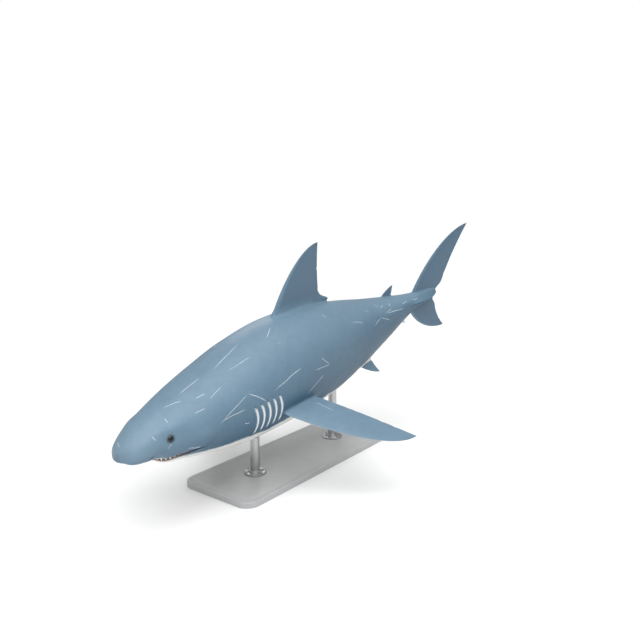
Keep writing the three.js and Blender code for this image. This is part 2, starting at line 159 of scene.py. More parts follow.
def depthInside(points):
    # roughly how far points lie under the plain outline
    at = np.clip(points[:, 0] / length + shark["balanceAt"], 0.001, bodyEnd - 0.001)
    top, bottom, half, mid = section(at)
    up = points[:, 2] - mid
    reach = np.where(up > 0, top - mid, bottom + mid)
    power = shark["fullness"]
    share = ((np.abs(points[:, 1]) / half) ** power + (np.abs(up) / reach) ** power) ** (1 / power)
    return (1 - share) * np.minimum(half, reach)


def pose(points):
    # bends the straight shark, tips its nose down and lifts it onto the stand
    p = np.array(points, float)
    at = p[:, 0] / length + shark["balanceAt"]
    behind = np.maximum(at - shark["swingFrom"], 0) / (1 - shark["swingFrom"])
    ahead = np.maximum(shark["dipFrom"] - at, 0) / shark["dipFrom"]
    y = p[:, 1] - length * shark["tailSwing"] * behind ** 2
    z = p[:, 2] - length * shark["noseDip"] * ahead ** 2
    tip = math.radians(shark["noseDown"])
    return np.stack([p[:, 0] * math.cos(tip) - z * math.sin(tip), y,
                     p[:, 0] * math.sin(tip) + z * math.cos(tip) + shark["axisHeight"]], 1)


def placed(name, data):
    made = bpy.data.objects.new(name, data)
    bpy.context.scene.collection.objects.link(made)
    return made


def newObject(name, points, faces):
    mesh = bpy.data.meshes.new(name)
    mesh.from_pydata(np.asarray(points).tolist(), [], faces)
    mesh.update()
    mesh.polygons.foreach_set("use_smooth", [True] * len(mesh.polygons))
    return placed(name, mesh)


def pointsOf(thing):
    flat = np.empty(len(thing.data.vertices) * 3)
    thing.data.vertices.foreach_get("co", flat)
    return flat.reshape(-1, 3)


def setPoints(thing, points):
    thing.data.vertices.foreach_set("co", np.asarray(points).ravel())
    thing.data.update()


def normalsOf(thing):
    flat = np.empty(len(thing.data.vertices) * 3)
    thing.data.vertices.foreach_get("normal", flat)
    return flat.reshape(-1, 3)


def addField(thing, name, values):
    # a value or a vector at each point, for the thing's material to read
    values = np.asarray(values, float)
    vector = values.ndim == 2
    made = thing.data.attributes.new(name, "FLOAT_VECTOR" if vector else "FLOAT", "POINT")
    made.data.foreach_set("vector" if vector else "value", values.ravel())


def loftFaces(count, sides):
    # faces of closed rings in a row, and of the two end points that come after them
    near, far = count * sides, count * sides + 1
    faces = []
    for j in range(sides):
        k = (j + 1) % sides
        faces.append((near, k, j))
        faces.append((far, (count - 1) * sides + j, (count - 1) * sides + k))
        faces += [(i * sides + j, i * sides + k, (i + 1) * sides + k, (i + 1) * sides + j)
                  for i in range(count - 1)]
    return faces


def loft(name, rings, firstTip=None, lastTip=None):
    # closed skin over rings of equal size, each end a tip or a flat cap
    rings = np.asarray(rings, float)
    first = rings[0].mean(0) if firstTip is None else firstTip
    last = rings[-1].mean(0) if lastTip is None else lastTip
    points = np.concatenate([rings.reshape(-1, 3), [first, last]])
    return newObject(name, points, facingOut(points, loftFaces(*rings.shape[:2])))


def hoop(name, rings):
    # closed rings in a row that comes round to its start, as in a tyre
    rings = np.asarray(rings, float)
    count, sides = rings.shape[:2]
    faces = []
    for i in range(count):
        for j in range(sides):
            n, m = (j + 1) % sides, (i + 1) % count
            faces.append((i * sides + j, i * sides + n, m * sides + n, m * sides + j))
    points = rings.reshape(-1, 3)
    return newObject(name, points, facingOut(points, faces))


def facingOut(points, faces):
    about = points - points.mean(0)
    corner = [about[[f[n] for f in faces]] for n in (0, 1, 2)]
    volume = np.einsum("ij,ij->", corner[0], np.cross(corner[1], corner[2]))
    return [f[::-1] for f in faces] if volume < 0 else faces


def carve(base, tools, how):
    for tool in tools:
        step = base.modifiers.new(tool.name, "BOOLEAN")
        step.operation, step.solver, step.object = how, "MANIFOLD", tool
    evaluated = base.evaluated_get(bpy.context.evaluated_depsgraph_get())
    shape = bpy.data.meshes.new_from_object(evaluated)
    base.modifiers.clear()
    base.data = shape
    for tool in tools:
        bpy.data.objects.remove(tool)


# ring spacing along the body, as (until, spacing) shares, and the number of points round each ring
grid = {
    "spacing": [(0.14, 0.0019), (0.18, 0.003), (0.27, 0.0028), (0.7, 0.0052), (0.881, 0.0036)],
    "first": 0.0012,      # place of the first ring, where they lie closest
    "clearOfSlits": 0.0035,
    "sides": 152,
}

gills = {
    "places": np.linspace(0.2055, 0.2585, 5),
    "top": -0.001,
    "bottom": -0.0545,
    "bow": 0.0045,        # how far the middle of a slit lies behind its ends
    "fadeEnds": 0.14,     # share of a slit's height over which it fades at each end
    # distance behind the slit and lift of the skin there, in millimetres
    "profile": [(-32, 0), (-14, 3.0), (-5, 6.5), (-1.8, 4.5), (0, -17), (3, -17), (7, -4.5), (14, -1),
                (32, 0)],
    "extraRings": [1.5, -3.2, 5],
}
tailPit = {"at": 0.797, "spread": 0.006, "depth": 7}    # the notch before the tail fin, depth in millimetres

# soft relief of the head and tail: place, height, spread along, spread up, lift in millimetres
relief = {
    "brow": (0.062, 0.0195, 0.018, 0.007, 7),
    "eyeHollow": (0.0665, 0.004, 0.0085, 0.0065, -5),
    "snoutFlat": (0.04, -0.004, 0.014, 0.008, -3),
    "cheek": (0.113, -0.014, 0.022, 0.017, 11),
    "jawHollow": (0.147, -0.016, 0.014, 0.03, -5),
    "mouthCorner": (0.1225, -0.0325, 0.0045, 0.007, -9),
    "chinPad": (0.078, -0.052, 0.012, 0.01, 4),
    "shoulder": (0.285, -0.02, 0.03, 0.03, 6),
}


def gillShare(height):
    return (height - gills["bottom"]) / (gills["top"] - gills["bottom"])


def gillFade(share):
    return ramp(share, 0, gills["fadeEnds"]) * ramp(1 - share, 0, gills["fadeEnds"])


def liftOf(at, height, angle):
    # how far the real skin stands off the plain outline
    lift = sum(mm * np.exp(-((at - place) / along) ** 2 - ((height - level) / up) ** 2)
               for place, level, along, up, mm in relief.values())
    flap = sum(np.interp((at - place) * length * 1000, *zip(*gills["profile"])) for place in gills["places"])
    pits = -tailPit["depth"] * np.exp(-((at - tailPit["at"]) / tailPit["spread"]) ** 2)
    pits = pits * ramp(np.abs(np.sin(angle)), 0.8, 1)
    return (lift + flap * gillFade(gillShare(height)) + pits) / 1000


def ringPlaces():
    places, at = [], grid["first"]
    for until, spacing in grid["spacing"]:
        while at < until:
            places.append(at)
            at += spacing * (0.35 + 0.65 * min(at / 0.02, 1))
    places = np.array(places)
    marks = np.array([mm for mm, _ in gills["profile"]] + gills["extraRings"]) / 1000 / length
    slitRings = (gills["places"][:, None] + marks[None, :]).ravel()
    clear = np.min(np.abs(places[:, None] - gills["places"][None, :]), 1) > grid["clearOfSlits"]
    return np.sort(np.concatenate([places[clear], slitRings]))


def buildBody():
    at = ringPlaces()[:, None]
    angle = turns(grid["sides"])[None, :] + 0.5 * math.pi
    # the rings bow backwards between the ends of the gill slits, so that each slit lies along a ring
    plain = bodyPoints(at, angle)
    share = np.clip(gillShare(plain[..., 2] / length), 0, 1)
    window = ramp(at, 0.165, 0.186) * (1 - ramp(at, 0.262, 0.285))
    rings = bodyPoints(at + gills["bow"] * np.sin(math.pi * share) * window, angle)
    facing = unit(np.cross(np.roll(rings, -1, 1) - np.roll(rings, 1, 1), np.gradient(rings, axis=0)))
    outwards = np.sign(np.sum(facing[..., 1:] * (rings - rings.mean(1, keepdims=True))[..., 1:], -1))
    rings = rings + facing * (outwards * liftOf(at, rings[..., 2] / length, angle))[..., None]
    tips = [(alongBody(s), 0, length * float(widestLine(s))) for s in (0, bodyEnd)]
    return loft("shark_skin", rings, *tips)


# Each fin flat, as shares of the length: chord is its root, span its height, tipBack how far the tip lies
# behind the front of the root, curl how much of that comes near the tip, hollow the depth of the trailing
# edge's curve and rearTip the free corner behind the root. thick is a share of the chord at the root and at
# the tip, flare the fillet at the root in metres, and nicks the count of small bites in the trailing edge.
fins = {
    "dorsal": {
        "origin": (0.352, 0, 0.0905), "chord": 0.144, "span": 0.1135, "tipBack": 0.143, "curl": 0.52,
        "hollow": 0.004, "rearTip": 0.03, "thick": (0.1, 0.08), "flare": 0.016, "lean": 3.8, "nicks": 3,
        "rows": 84, "columns": 26,
    },
    "secondDorsal": {
        "origin": (0.682, 0, 0.0345), "chord": 0.045, "span": 0.0245, "tipBack": 0.043, "curl": 0.3,
        "hollow": 0.002, "rearTip": 0.01, "thick": (0.13, 0.1), "flare": 0.005, "lean": 9, "nicks": 1,
        "rows": 30, "columns": 12,
    },
    "anal": {
        "origin": (0.738, 0, -0.0308), "chord": 0.023, "span": 0.0205, "tipBack": 0.0245, "curl": 0.3,
        "hollow": 0.002, "rearTip": 0.01, "thick": (0.13, 0.1), "flare": 0.005, "lean": 11, "nicks": 1,
        "downwards": True, "rows": 30, "columns": 12,
    },
    "tailUpper": {
        "origin": (0.7775, 0, 0), "chord": 0.1165, "span": 0.139, "tipBack": 0.2225, "curl": 0.5,
        "hollow": 0.007, "rearTip": 0, "thick": (0.13, 0.08), "flare": 0, "sink": 0.003, "nicks": 4,
        "rows": 96, "columns": 24,
    },
    "tailLower": {
        "origin": (0.774, 0, 0), "chord": 0.1195, "span": 0.088, "tipBack": 0.126, "curl": 0.85,
        "hollow": 0.019, "rearTip": 0, "thick": (0.13, 0.08), "flare": 0, "sink": 0.003, "nicks": 2,
        "downwards": True, "rows": 72, "columns": 24,
    },
    "pectoral": {
        "origin": (0.268, 0.068, -0.0385), "chord": 0.088, "span": 0.1845, "tipBack": 0.154, "curl": 0.7,
        "hollow": -0.001, "rearTip": 0.008, "thick": (0.13, 0.08), "flare": 0.016, "sag": 0.01,
        "droop": 19, "pitch": 3, "nicks": 4, "paired": True, "rows": 100, "columns": 24,
    },
    "pelvic": {
        "origin": (0.55, 0.033, -0.069), "chord": 0.047, "span": 0.034, "tipBack": 0.046, "curl": 0.35,
        "hollow": 0.002, "rearTip": 0.012, "thick": (0.12, 0.1), "flare": 0.008, "droop": 56, "pitch": -5,
        "nicks": 2, "paired": True, "rows": 40, "columns": 14,
    },
}
finRoot = 0.025    # how deep a root runs into the body, as a share of the length
finEdge = 0.0035   # least thickness, at the trailing edge
nickSize = {"place": (0.2, 0.8), "depth": (0.0005, 0.0014), "width": (0.012, 0.026)}    # drawn between these


def finWays(fin):
    # a fin's chord, thickness and span ways as rows, and the front of its root, on the left side
    if fin.get("paired"):
        droop, pitch = math.radians(fin["droop"]), math.radians(fin["pitch"])
        chordWay = np.array([math.cos(pitch), 0, -math.sin(pitch)])
        spanWay = np.array([0, -math.cos(droop), -math.sin(droop)])
    else:
        down = -1 if fin.get("downwards") else 1
        lean = math.radians(fin.get("lean", 0)) * down
        chordWay = np.array([math.cos(lean), 0, -math.sin(lean)])
        spanWay = np.array([math.sin(lean), 0, math.cos(lean)]) * down
    ways = np.stack([chordWay, np.cross(spanWay, chordWay), spanWay])
    at, off, up = fin["origin"]
    return ways, np.array([alongBody(at), -off * length, up * length])


def finEdges(fin, v, out):
    # places of the leading and trailing edges at a share of the way up, less any nicks
    lead = fin["tipBack"] * ((1 - fin["curl"]) * v + fin["curl"] * (1 - np.sqrt(1 - out ** 2)))
    trail = fin["chord"] + (fin["tipBack"] - fin["chord"]) * out
    return lead, trail - fin["hollow"] * np.sin(math.pi * out ** 0.8)


def buildFin(name, fin, seed):
    dice = np.random.default_rng(seed)
    rows, columns = fin["rows"], fin["columns"]
    sink = fin.get("sink", finRoot)
    step = np.linspace(0, 1, rows + 1)[:-1]
    v = -sink / fin["span"] + (1 + sink / fin["span"]) * (1 - (1 - step) ** 1.5)
    out = np.clip(v, 0, 1)
    lead, trail = finEdges(fin, v, out)
    trail += fin["rearTip"] * np.exp(-(out / 0.09) ** 2)
    for _ in range(fin["nicks"]):
        place, depth, width = (dice.uniform(*nickSize[key]) for key in ("place", "depth", "width"))
        trail -= min(depth, fin["chord"] * 0.012) * np.exp(-((out - place) / width) ** 2)
    chordLength = (trail - lead) * length
    full = chordLength * (fin["thick"][0] + (fin["thick"][1] - fin["thick"][0]) * out)
    height = v * fin["span"] * length
    flare = fin["flare"]
    fillet = flare * np.exp(-(np.maximum(height, 0) / (2.5 * flare)) ** 2) if flare else 0 * height
    share = (np.arange(columns) + 0.5) / columns
    share = np.concatenate([share, share[::-1]])[None, :]
    side = np.repeat([1.0, -1.0], columns)[None, :]
    u = share ** 2
    # a plain wing section, then its least thickness towards the trailing edge
    wing = 2.5 * (0.2969 * np.sqrt(u) - 0.126 * u - 0.3516 * u ** 2 + 0.2843 * u ** 3 - 0.1036 * u ** 4)
    blunt = finEdge / 2 * np.sqrt(np.minimum(u * 12, 1))
    half = np.maximum(wing * full[:, None], blunt) + fillet[:, None] * (1 - u)
    sway = (-length * fin.get("sag", 0) * out ** 2)[:, None]
    flat = np.stack(np.broadcast_arrays(
        lead[:, None] * length + u * chordLength[:, None], side * half + sway, height[:, None]), -1)
    tip = np.array([fin["tipBack"] * length, -length * fin.get("sag", 0), fin["span"] * length])

    ways, origin = finWays(fin)
    rings, tip = flat @ ways + origin, tip @ ways + origin
    made = [loft(name, rings, None, tip)]
    if fin.get("paired"):
        mirror = np.array([1, -1, 1])
        made.append(loft(name + "Right", rings * mirror, None, tip * mirror))
    return made


def surfaceOf(thing):
    faces = [tuple(face.vertices) for face in thing.data.polygons]
    return BVHTree.FromPolygons([tuple(p) for p in pointsOf(thing)], faces)


def distances(tree, points, most):
    found = (tree.find_nearest(Vector(p), most) for p in points)
    return np.array([most if hit[0] is None else hit[3] for hit in found])


def relax(thing, weight, rounds):
    # evens out the skin where weight is above nothing
    points = pointsOf(thing)
    edges = np.empty(len(thing.data.edges) * 2, int)
    thing.data.edges.foreach_get("vertices", edges)
    a, b = edges.reshape(-1, 2).T
    both = np.concatenate([a, b])
    count = np.bincount(both, minlength=len(points))[:, None]
    for _ in range(rounds):
        total = np.stack([np.bincount(both, np.concatenate([points[b, k], points[a, k]]), minlength=len(points))
                          for k in range(3)], 1)
        points += weight[:, None] * 0.6 * (total / count - points)
    setPoints(thing, points)


mouth = {
    "corner": (0.118, -0.0295),
    "roof": (0.05, -0.027),
    "floor": (0.05, -0.0358),
    "arch": 0.0022,       # how far the upper lip bows up between its ends
    "palate": 0.02,       # metres, how much higher the middle of the roof is
    "bed": 0.011,         # how much lower the floor is inside the lower lip
    "lip": (0.014, 0.05),    # the floor and roof slope between these distances in from the edge
    "gumHeight": 0.008,
    "gumWidth": 0.0085,
    # distance in from the lip, place of the ends, and which way the gum is set off from it
    "gums": {"roof": (0.014, 0.11, 1), "floor": (0.013, 0.108, -1)},
    "tongueAt": 0.096,
    "tongueSink": 0.014,      # metres that its middle lies below the lower lip
    "tongue": (0.085, 0.075, 0.02),
}
eyes = {"at": 0.0665, "height": 0.0045, "radius": 0.027, "proud": 0.008, "lid": 0.002}
nostril = {"at": 0.0345, "height": -0.0125, "length": 0.019, "width": 0.0052, "depth": 0.012, "tilt": 30}
# how far the skin is evened out round each join, in metres, and in how many rounds
evening = {"finRoots": (0.022, 14), "fork": (0.055, 110), "lids": (0.005, 5)}
forkPlace = (0.884, -0.004)    # where the lobes of the tail part, place and height


def lipHeight(at, jaw):
    (cornerAt, cornerHeight), (frontAt, frontHeight) = mouth["corner"], mouth[jaw]
    share = np.clip((cornerAt - at) / (cornerAt - frontAt), 0, 1.6)
    arch = mouth["arch"] * np.sin(math.pi * np.clip(share, 0, 1)) if jaw == "roof" else 0
    return cornerHeight + share * (frontHeight - cornerHeight) + arch


def jawFront(jaw):
    # where the jaw's edge crosses the middle, as a share
    at = np.linspace(0.035, 0.08, 900)
    return float(at[np.argmax(halfWidthAt(at, lipHeight(at, jaw)) > 0.0005)])


def gapeTool():
    at = np.linspace(mouth["corner"][0], 0.03, 90)
    fronts = {jaw: jawFront(jaw) for jaw in ("roof", "floor")}
    rings = []
    for y in np.linspace(-0.3, 0.3, 101):
        lines = []
        for jaw, deep in (("roof", mouth["palate"]), ("floor", -mouth["bed"])):
            inside = np.minimum(halfWidthAt(at, lipHeight(at, jaw)) - abs(y), (at - fronts[jaw]) * length)
            inside = ramp(inside, *mouth["lip"]) * ramp(mouth["corner"][0] - at, 0.002, 0.02)
            lip = lipHeight(at, jaw) * length + deep * inside
            lines.append(np.stack([alongBody(at), np.full_like(at, y), lip], 1))
        rings.append(np.concatenate([lines[0], lines[1][1:][::-1]]))
    return loft("gape", rings)


def evenly(path, count):
    run = runAlong(path)
    spread = np.linspace(0, run[-1], count)
    return np.stack([np.interp(spread, run, path[:, k]) for k in range(path.shape[1])], 1)


def jawEdge(jaw, inset, last):
    # the U of a jaw's edge drawn in by inset, from the left corner round the front to the right one
    front = jawFront(jaw)
    at = front + (last - front) * np.linspace(0, 1, 300) ** 2
    across = halfWidthAt(at, lipHeight(at, jaw))
    left = np.stack([alongBody(at), -across], 1)[::-1]
    edge = evenly(np.concatenate([left, left[::-1][1:] * [1, -1]]), 500)
    way = unit(np.gradient(edge, axis=0))
    drawn = edge + np.stack([-way[:, 1], way[:, 0]], 1) * inset * (1 if way[250, 1] < 0 else -1)
    if drawn[250, 0] < edge[250, 0]:
        drawn = 2 * edge - drawn
    clear = [np.min(np.linalg.norm(edge - p, axis=1)) > inset * 0.985 for p in drawn]
    drawn = evenly(drawn[clear], 160)
    for _ in range(6):
        drawn[1:-1] = (drawn[:-2] + 2 * drawn[1:-1] + drawn[2:]) / 4
    places = drawn[:, 0] / length + shark["balanceAt"]
    return np.column_stack([drawn, lipHeight(places, jaw) * length])


def gum(jaw, inset, last, towards):
    path = jawEdge(jaw, inset, last)
    side = np.cross(unit(np.gradient(path, axis=0)), [0, 0, 1.0])
    angle = turns(14)
    ends = np.linspace(0, 1, len(path))
    taper = np.sqrt(np.clip(np.minimum(ends, 1 - ends) * 12, 0, 1))[:, None, None]
    thick = 0.3 + 0.7 * taper
    rings = (path[:, None] + side[:, None] * np.cos(angle)[None, :, None] * mouth["gumWidth"] * thick
             + np.array([0, 0, 1.0]) * np.sin(angle)[None, :, None] * mouth["gumHeight"] * thick)
    return loft(jaw + "Gum", rings + np.array([0, 0, 0.004 * towards]))


def globeRings(tilts, radii, sides):
    # rings about an upright line, each at its own tilt from the pole and distance from the centre
    turn = turns(sides)
    return np.stack([np.stack([r * math.sin(t) * np.cos(turn), r * math.sin(t) * np.sin(turn),
                               np.full(sides, r * math.cos(t))], 1) for t, r in zip(tilts, radii)])


def ellipsoid(name, centre, ways, radii, segments=32):
    # ways are three rows of axes
    tilts = np.linspace(0, math.pi, segments // 2 + 1)[1:-1]
    local = globeRings(tilts, np.ones(len(tilts)), segments) * radii
    ways, centre = np.array(ways), np.array(centre)
    poles = [np.array([0, 0, s]) * radii @ ways + centre for s in (1, -1)]
    return loft(name, local @ ways + centre, *poles)


def surfaceFrame(at, height, side):
    # a point on the plain outline with its outward way and two ways along the skin
    def place(s, h):
        return np.array([alongBody(s), side * float(halfWidthAt(s, h)), h * length])
    here = place(at, height)
    back = unit(place(at + 0.002, height) - here)
    up = place(at, height + 0.002) - here
    out = unit(np.cross(back, up) * -side)
    if out[1] * side < 0:
        out = -out
    return here, np.stack([back, np.cross(out, back), out])


def eyePlace(side):
    reach = float(halfWidthAt(eyes["at"], eyes["height"])) + eyes["proud"] - eyes["radius"]
    return np.array([alongBody(eyes["at"]), side * reach, eyes["height"] * length])


def eyelid(side):
    ways = surfaceFrame(eyes["at"], eyes["height"], side)[1]
    centre, radius, thick = eyePlace(side), eyes["radius"], eyes["lid"]
    lift = 0.7 * radius
    ringRadius = math.sqrt(radius ** 2 - lift ** 2) + thick * 0.5
    turn, rings = turns(56), []
    for a in turns(14):
        r = ringRadius + thick * 1.9 * math.cos(a)
        rings.append(centre + ways[2] * (lift + thick * math.sin(a) - 0.0012)
                     + (ways[0] * (np.cos(turn) * r)[:, None] + ways[1] * (np.sin(turn) * r)[:, None]))
    return hoop("eyelid", rings)


def nostrilTool(side):
    here, ways = surfaceFrame(nostril["at"], nostril["height"], side)
    tilt = math.radians(nostril["tilt"])
    turned = np.stack([ways[0] * math.cos(tilt) + ways[1] * math.sin(tilt),
                       ways[1] * math.cos(tilt) - ways[0] * math.sin(tilt), ways[2]])
    return ellipsoid("nostril", here, turned, (nostril["length"], nostril["width"], nostril["depth"]), 24)


def evenOut(thing, away, where):
    # evens the skin where away, the distance from a join, is small
    spread, rounds = evening[where]
    relax(thing, np.exp(-(away / spread) ** 2), rounds)


body = buildBody()
print("body lofted:", len(body.data.polygons), "faces")
bodySurface = surfaceOf(body)
finPieces = [piece for seed, (name, fin) in enumerate(fins.items()) for piece in buildFin(name, fin, seed)]
finSurfaces = [surfaceOf(piece) for piece in finPieces]
carve(body, finPieces, "UNION")
print("fins joined:", len(body.data.polygons), "faces")

points = pointsOf(body)
toBody = distances(bodySurface, points, 0.12)
toFins = np.min([distances(tree, points, 0.12) for tree in finSurfaces], 0)
evenOut(body, np.maximum(toBody, toFins), "finRoots")
fork = np.array([alongBody(forkPlace[0]), 0, forkPlace[1] * length])
evenOut(body, np.linalg.norm(pointsOf(body) - fork, axis=1), "fork")
print("fin roots evened")

carve(body, [gapeTool()], "DIFFERENCE")
tongueTop = float(lipHeight(mouth["tongueAt"], "floor")) * length - mouth["tongueSink"]
tongue = ellipsoid("tongue", (alongBody(mouth["tongueAt"]), 0, tongueTop), np.eye(3), mouth["tongue"])
lids = [eyelid(-1), eyelid(1)]
lidSurfaces = [surfaceOf(lid) for lid in lids]
carve(body, [gum(jaw, *values) for jaw, values in mouth["gums"].items()] + [tongue] + lids, "UNION")
points = pointsOf(body)
evenOut(body, np.min([distances(tree, points, 0.05) for tree in lidSurfaces], 0), "lids")
carve(body, [nostrilTool(-1), nostrilTool(1)], "DIFFERENCE")
print("mouth, lids and nostrils cut:", len(body.data.polygons), "faces")


def finSpot(points, fin):
    # where points lie on a fin: share up it, share along its chord there, and how far off it they are
    ways, origin = finWays(fin)
    local = (points - origin) @ ways.T
    v = local[:, 2] / (fin["span"] * length)
    out = np.clip(v, 0, 1)
    lead, trail = finEdges(fin, out, out)
    along = local[:, 0] / length
    u = (along - lead) / np.maximum(trail - lead, 0.001)
    off = np.maximum(np.abs(local[:, 1] + length * fin.get("sag", 0) * out ** 2),
                     length * (4 - 3.5 * out) * np.maximum(lead - along, along - trail))
    return v, u, off


# the height at which the slate back ends and the white belly begins, by place
shadeLine = smoothThrough(*zip(
    (0, -0.012), (0.03, -0.0195), (0.045, -0.0222), (0.06, -0.0272), (0.09, -0.035), (0.13, -0.0435),
    (0.19, -0.0515), (0.26, -0.059), (0.35, -0.067), (0.44, -0.0685), (0.54, -0.0585), (0.64, -0.042),
    (0.73, -0.0245), (0.8, -0.0125), (0.85, -0.008), (0.89, -0.006)))
gillColour = {
    # distance behind the slit in millimetres, and how much it is groove, painted dark as the shade inside the slit,
    # or pale rim there
    "groove": [(-1.7, 0), (-0.2, 1), (3.2, 1), (6, 0)],
    "rim": [(-15, 0), (-7, 0.3), (-1.7, 0.62), (3, 0.8), (6, 1), (15, 0.72), (28, 0)],
}
armpitSpot = {"along": 0.93, "off": 0.079, "height": -0.052, "spread": [0.055, 0.05, 0.03], "strength": 0.9}


def markSkin(thing):
    # fields that the skin's material reads, measured on the straight shark
    points, normals = pointsOf(thing), normalsOf(thing)
    at = points[:, 0] / length + shark["balanceAt"]
    height = points[:, 2] / length
    mid = length * widestLine(np.clip(at, 0, bodyEnd))
    radius = np.hypot(points[:, 1], points[:, 2] - mid)
    girth = np.arctan2(np.abs(points[:, 1]), points[:, 2] - mid) * radius * np.where(points[:, 1] < 0, 1, -1)
    above = (height - shadeLine(np.clip(at, 0, bodyEnd))) * length
    mirrored = points * [1, -1, 1]
    # facing is the upward part of each point's normal, which sets where the material paints shade on skin that
    # faces down
    dark, paintedFinShade, facing = np.zeros(len(points)), np.zeros(len(points)), normals[:, 2]
    for name, fin in fins.items():
        for own in ((points, mirrored) if fin.get("paired") else (points,)):
            v, u, off = finSpot(own, fin)
            near = (v < 1.08) & (off < 0.09)
            on = np.where(near, ramp(v, 0.03, 0.2), 0)
            if fin.get("paired"):
                face = normals[:, 2] * 0.6 + 0.02
                above = above * (1 - on) + face * on
                tip = ramp(v + 0.05 * u, 0.8, 0.93) * ramp(-normals[:, 2], -0.1, 0.35)
                dark = np.maximum(dark, on * (tip * 0.95 + 0.35 * ramp(u, 0.9, 1) * ramp(v, 0.3, 0.6)))
            elif name == "anal":
                above = above * (1 - on) - 0.03 * on
            else:
                above = np.maximum(above, above * (1 - on) + 0.4 * on)
                # little of the painted shade from below falls on these fins
                facing = facing * (1 - on) + 0.5 * on
                dark = np.maximum(dark, on * (0.5 * ramp(v, 0.86, 1) + 0.45 * ramp(u, 0.86, 1)))
                # their sides are darkened as painted shade, all but a strip along the leading edge, which stays
                # lighter as a painted highlight
                paintedFinShade = np.maximum(paintedFinShade, on * (1.35 * ramp(u, 0.03, 0.11) - 0.35))
    folded = points * np.where(points[:, 1:2] < 0, [1, -1, 1], 1)    # both sides laid on the right one
    root = fins["pectoral"]["origin"][0] + fins["pectoral"]["chord"] * armpitSpot["along"]
    armpit = np.array([alongBody(root), armpitSpot["off"] * length, armpitSpot["height"] * length])
    axil = np.exp(-np.linalg.norm((folded - armpit) / armpitSpot["spread"], axis=1) ** 2)
    dark = np.maximum(dark, axil * armpitSpot["strength"])

    share = gillShare(height)
    fade = gillFade(share) * ramp(np.abs(normals[:, 1]), 0.1, 0.3)
    bow = gills["bow"] * np.sin(math.pi * np.clip(share, 0, 1))
    # groove marks the inside of each slit, where the material paints shade; rim marks its pale lips
    groove, rim = np.zeros(len(points)), np.zeros(len(points))
    for place in gills["places"]:
        behind = (at - bow - place) * length * 1000
        groove = np.maximum(groove, np.interp(behind, *zip(*gillColour["groove"])))
        rim = np.maximum(rim, np.interp(behind, *zip(*gillColour["rim"])))
    inward = depthInside(points)
    inMouth = (at > 0.035) & (at < 0.125)
    inMouth &= (height < lipHeight(at, "roof") + 0.008) & (height > lipHeight(at, "floor") - 0.008)
    lining = np.where(inMouth, ramp(inward, 0.005, 0.013), 0)
    # the nostrils' hollows, which the material paints near black as their shade
    nostrilPaintedShade = np.exp(-((at - nostril["at"]) / 0.006) ** 2 - ((height - nostril["height"]) / 0.006) ** 2)
    nostrilPaintedShade = nostrilPaintedShade * ramp(inward, 0.0015, 0.005)
    toEye = np.linalg.norm(folded - eyePlace(1), axis=1)
    fields = {
        "place": points + [length * shark["balanceAt"], 0, 0],
        "wrap": np.stack([at * length, girth, 0 * at], 1),
        "above": above, "facing": facing, "dark": dark, "groove": groove * fade, "rim": rim * fade,
        "lining": lining, "hollow": nostrilPaintedShade, "fin": paintedFinShade, "lid": 1 - ramp(toEye, 0.0275, 0.038),
    }
    for name, values in fields.items():
        addField(thing, name, values)


# each tooth is a serrated blade with a nearly flat front
toothRows = {
    "upper": {"jaw": "roof", "perSide": 11, "length": 0.031, "width": 0.03, "inset": 0.014, "last": 0.102,
              "root": 0.005, "lean": 6},
    "upperSpare": {"jaw": "roof", "perSide": 9, "length": 0.024, "width": 0.025, "inset": 0.024, "last": 0.097,
                   "root": 0.003, "lean": 46},
    "lower": {"jaw": "floor", "perSide": 10, "length": 0.023, "width": 0.018, "inset": 0.013, "last": 0.1,
              "root": 0.004, "lean": 5},
    "lowerSpare": {"jaw": "floor", "perSide": 8, "length": 0.017, "width": 0.015, "inset": 0.022, "last": 0.094,
                   "root": 0.002, "lean": 44},
}
serration = {"pitch": 0.0011, "depth": 0.00035}
toothSize = {"scatter": (0.93, 1.05), "leanScatter": (-4, 4), "smallerAtBack": 0.6, "shortThird": 0.82}


def blade(width, height, thick, sweep):
    # rings of one tooth, root first: x across, y through (front is -y), z up to the tip
    rows = max(12, int(height / serration["pitch"]))
    v = np.linspace(0, 0.985, rows)
    half = width / 2 * (0.86 * (1 - v) ** 0.88 + 0.14 * (1 - v) ** 3) + 0.0002
    notch = np.where(np.arange(rows) % 2, -serration["depth"], serration["depth"]) * ramp(v, 0.08, 0.2)
    half = np.maximum(half + notch * (half > 0.0012), 0.0002)
    across = np.concatenate([np.linspace(-1, 1, 9), np.linspace(1, -1, 9)[1:-1]])
    face = np.concatenate([-0.3 * np.ones(9), np.ones(7)])
    body = thick / 2 * (1 - v) ** 0.7 + 0.0002
    x = half[:, None] * across[None, :] + (sweep * v ** 1.6)[:, None]
    y = body[:, None] * (face * (1 - across ** 2) ** 0.8)[None, :]
    z = np.broadcast_to((height * v)[:, None], x.shape)
    return np.stack([x, y, z], 2), np.array([sweep, 0, height]), v


def eachTooth(rows):
    # from the front of the jaw to its corner, left side first
    for key in rows:
        row = toothRows[key]
        path = jawEdge(row["jaw"], row["inset"], row["last"])
        for side in (-1, 1):
            for k in range(row["perSide"]):
                yield key, row, path, side, k


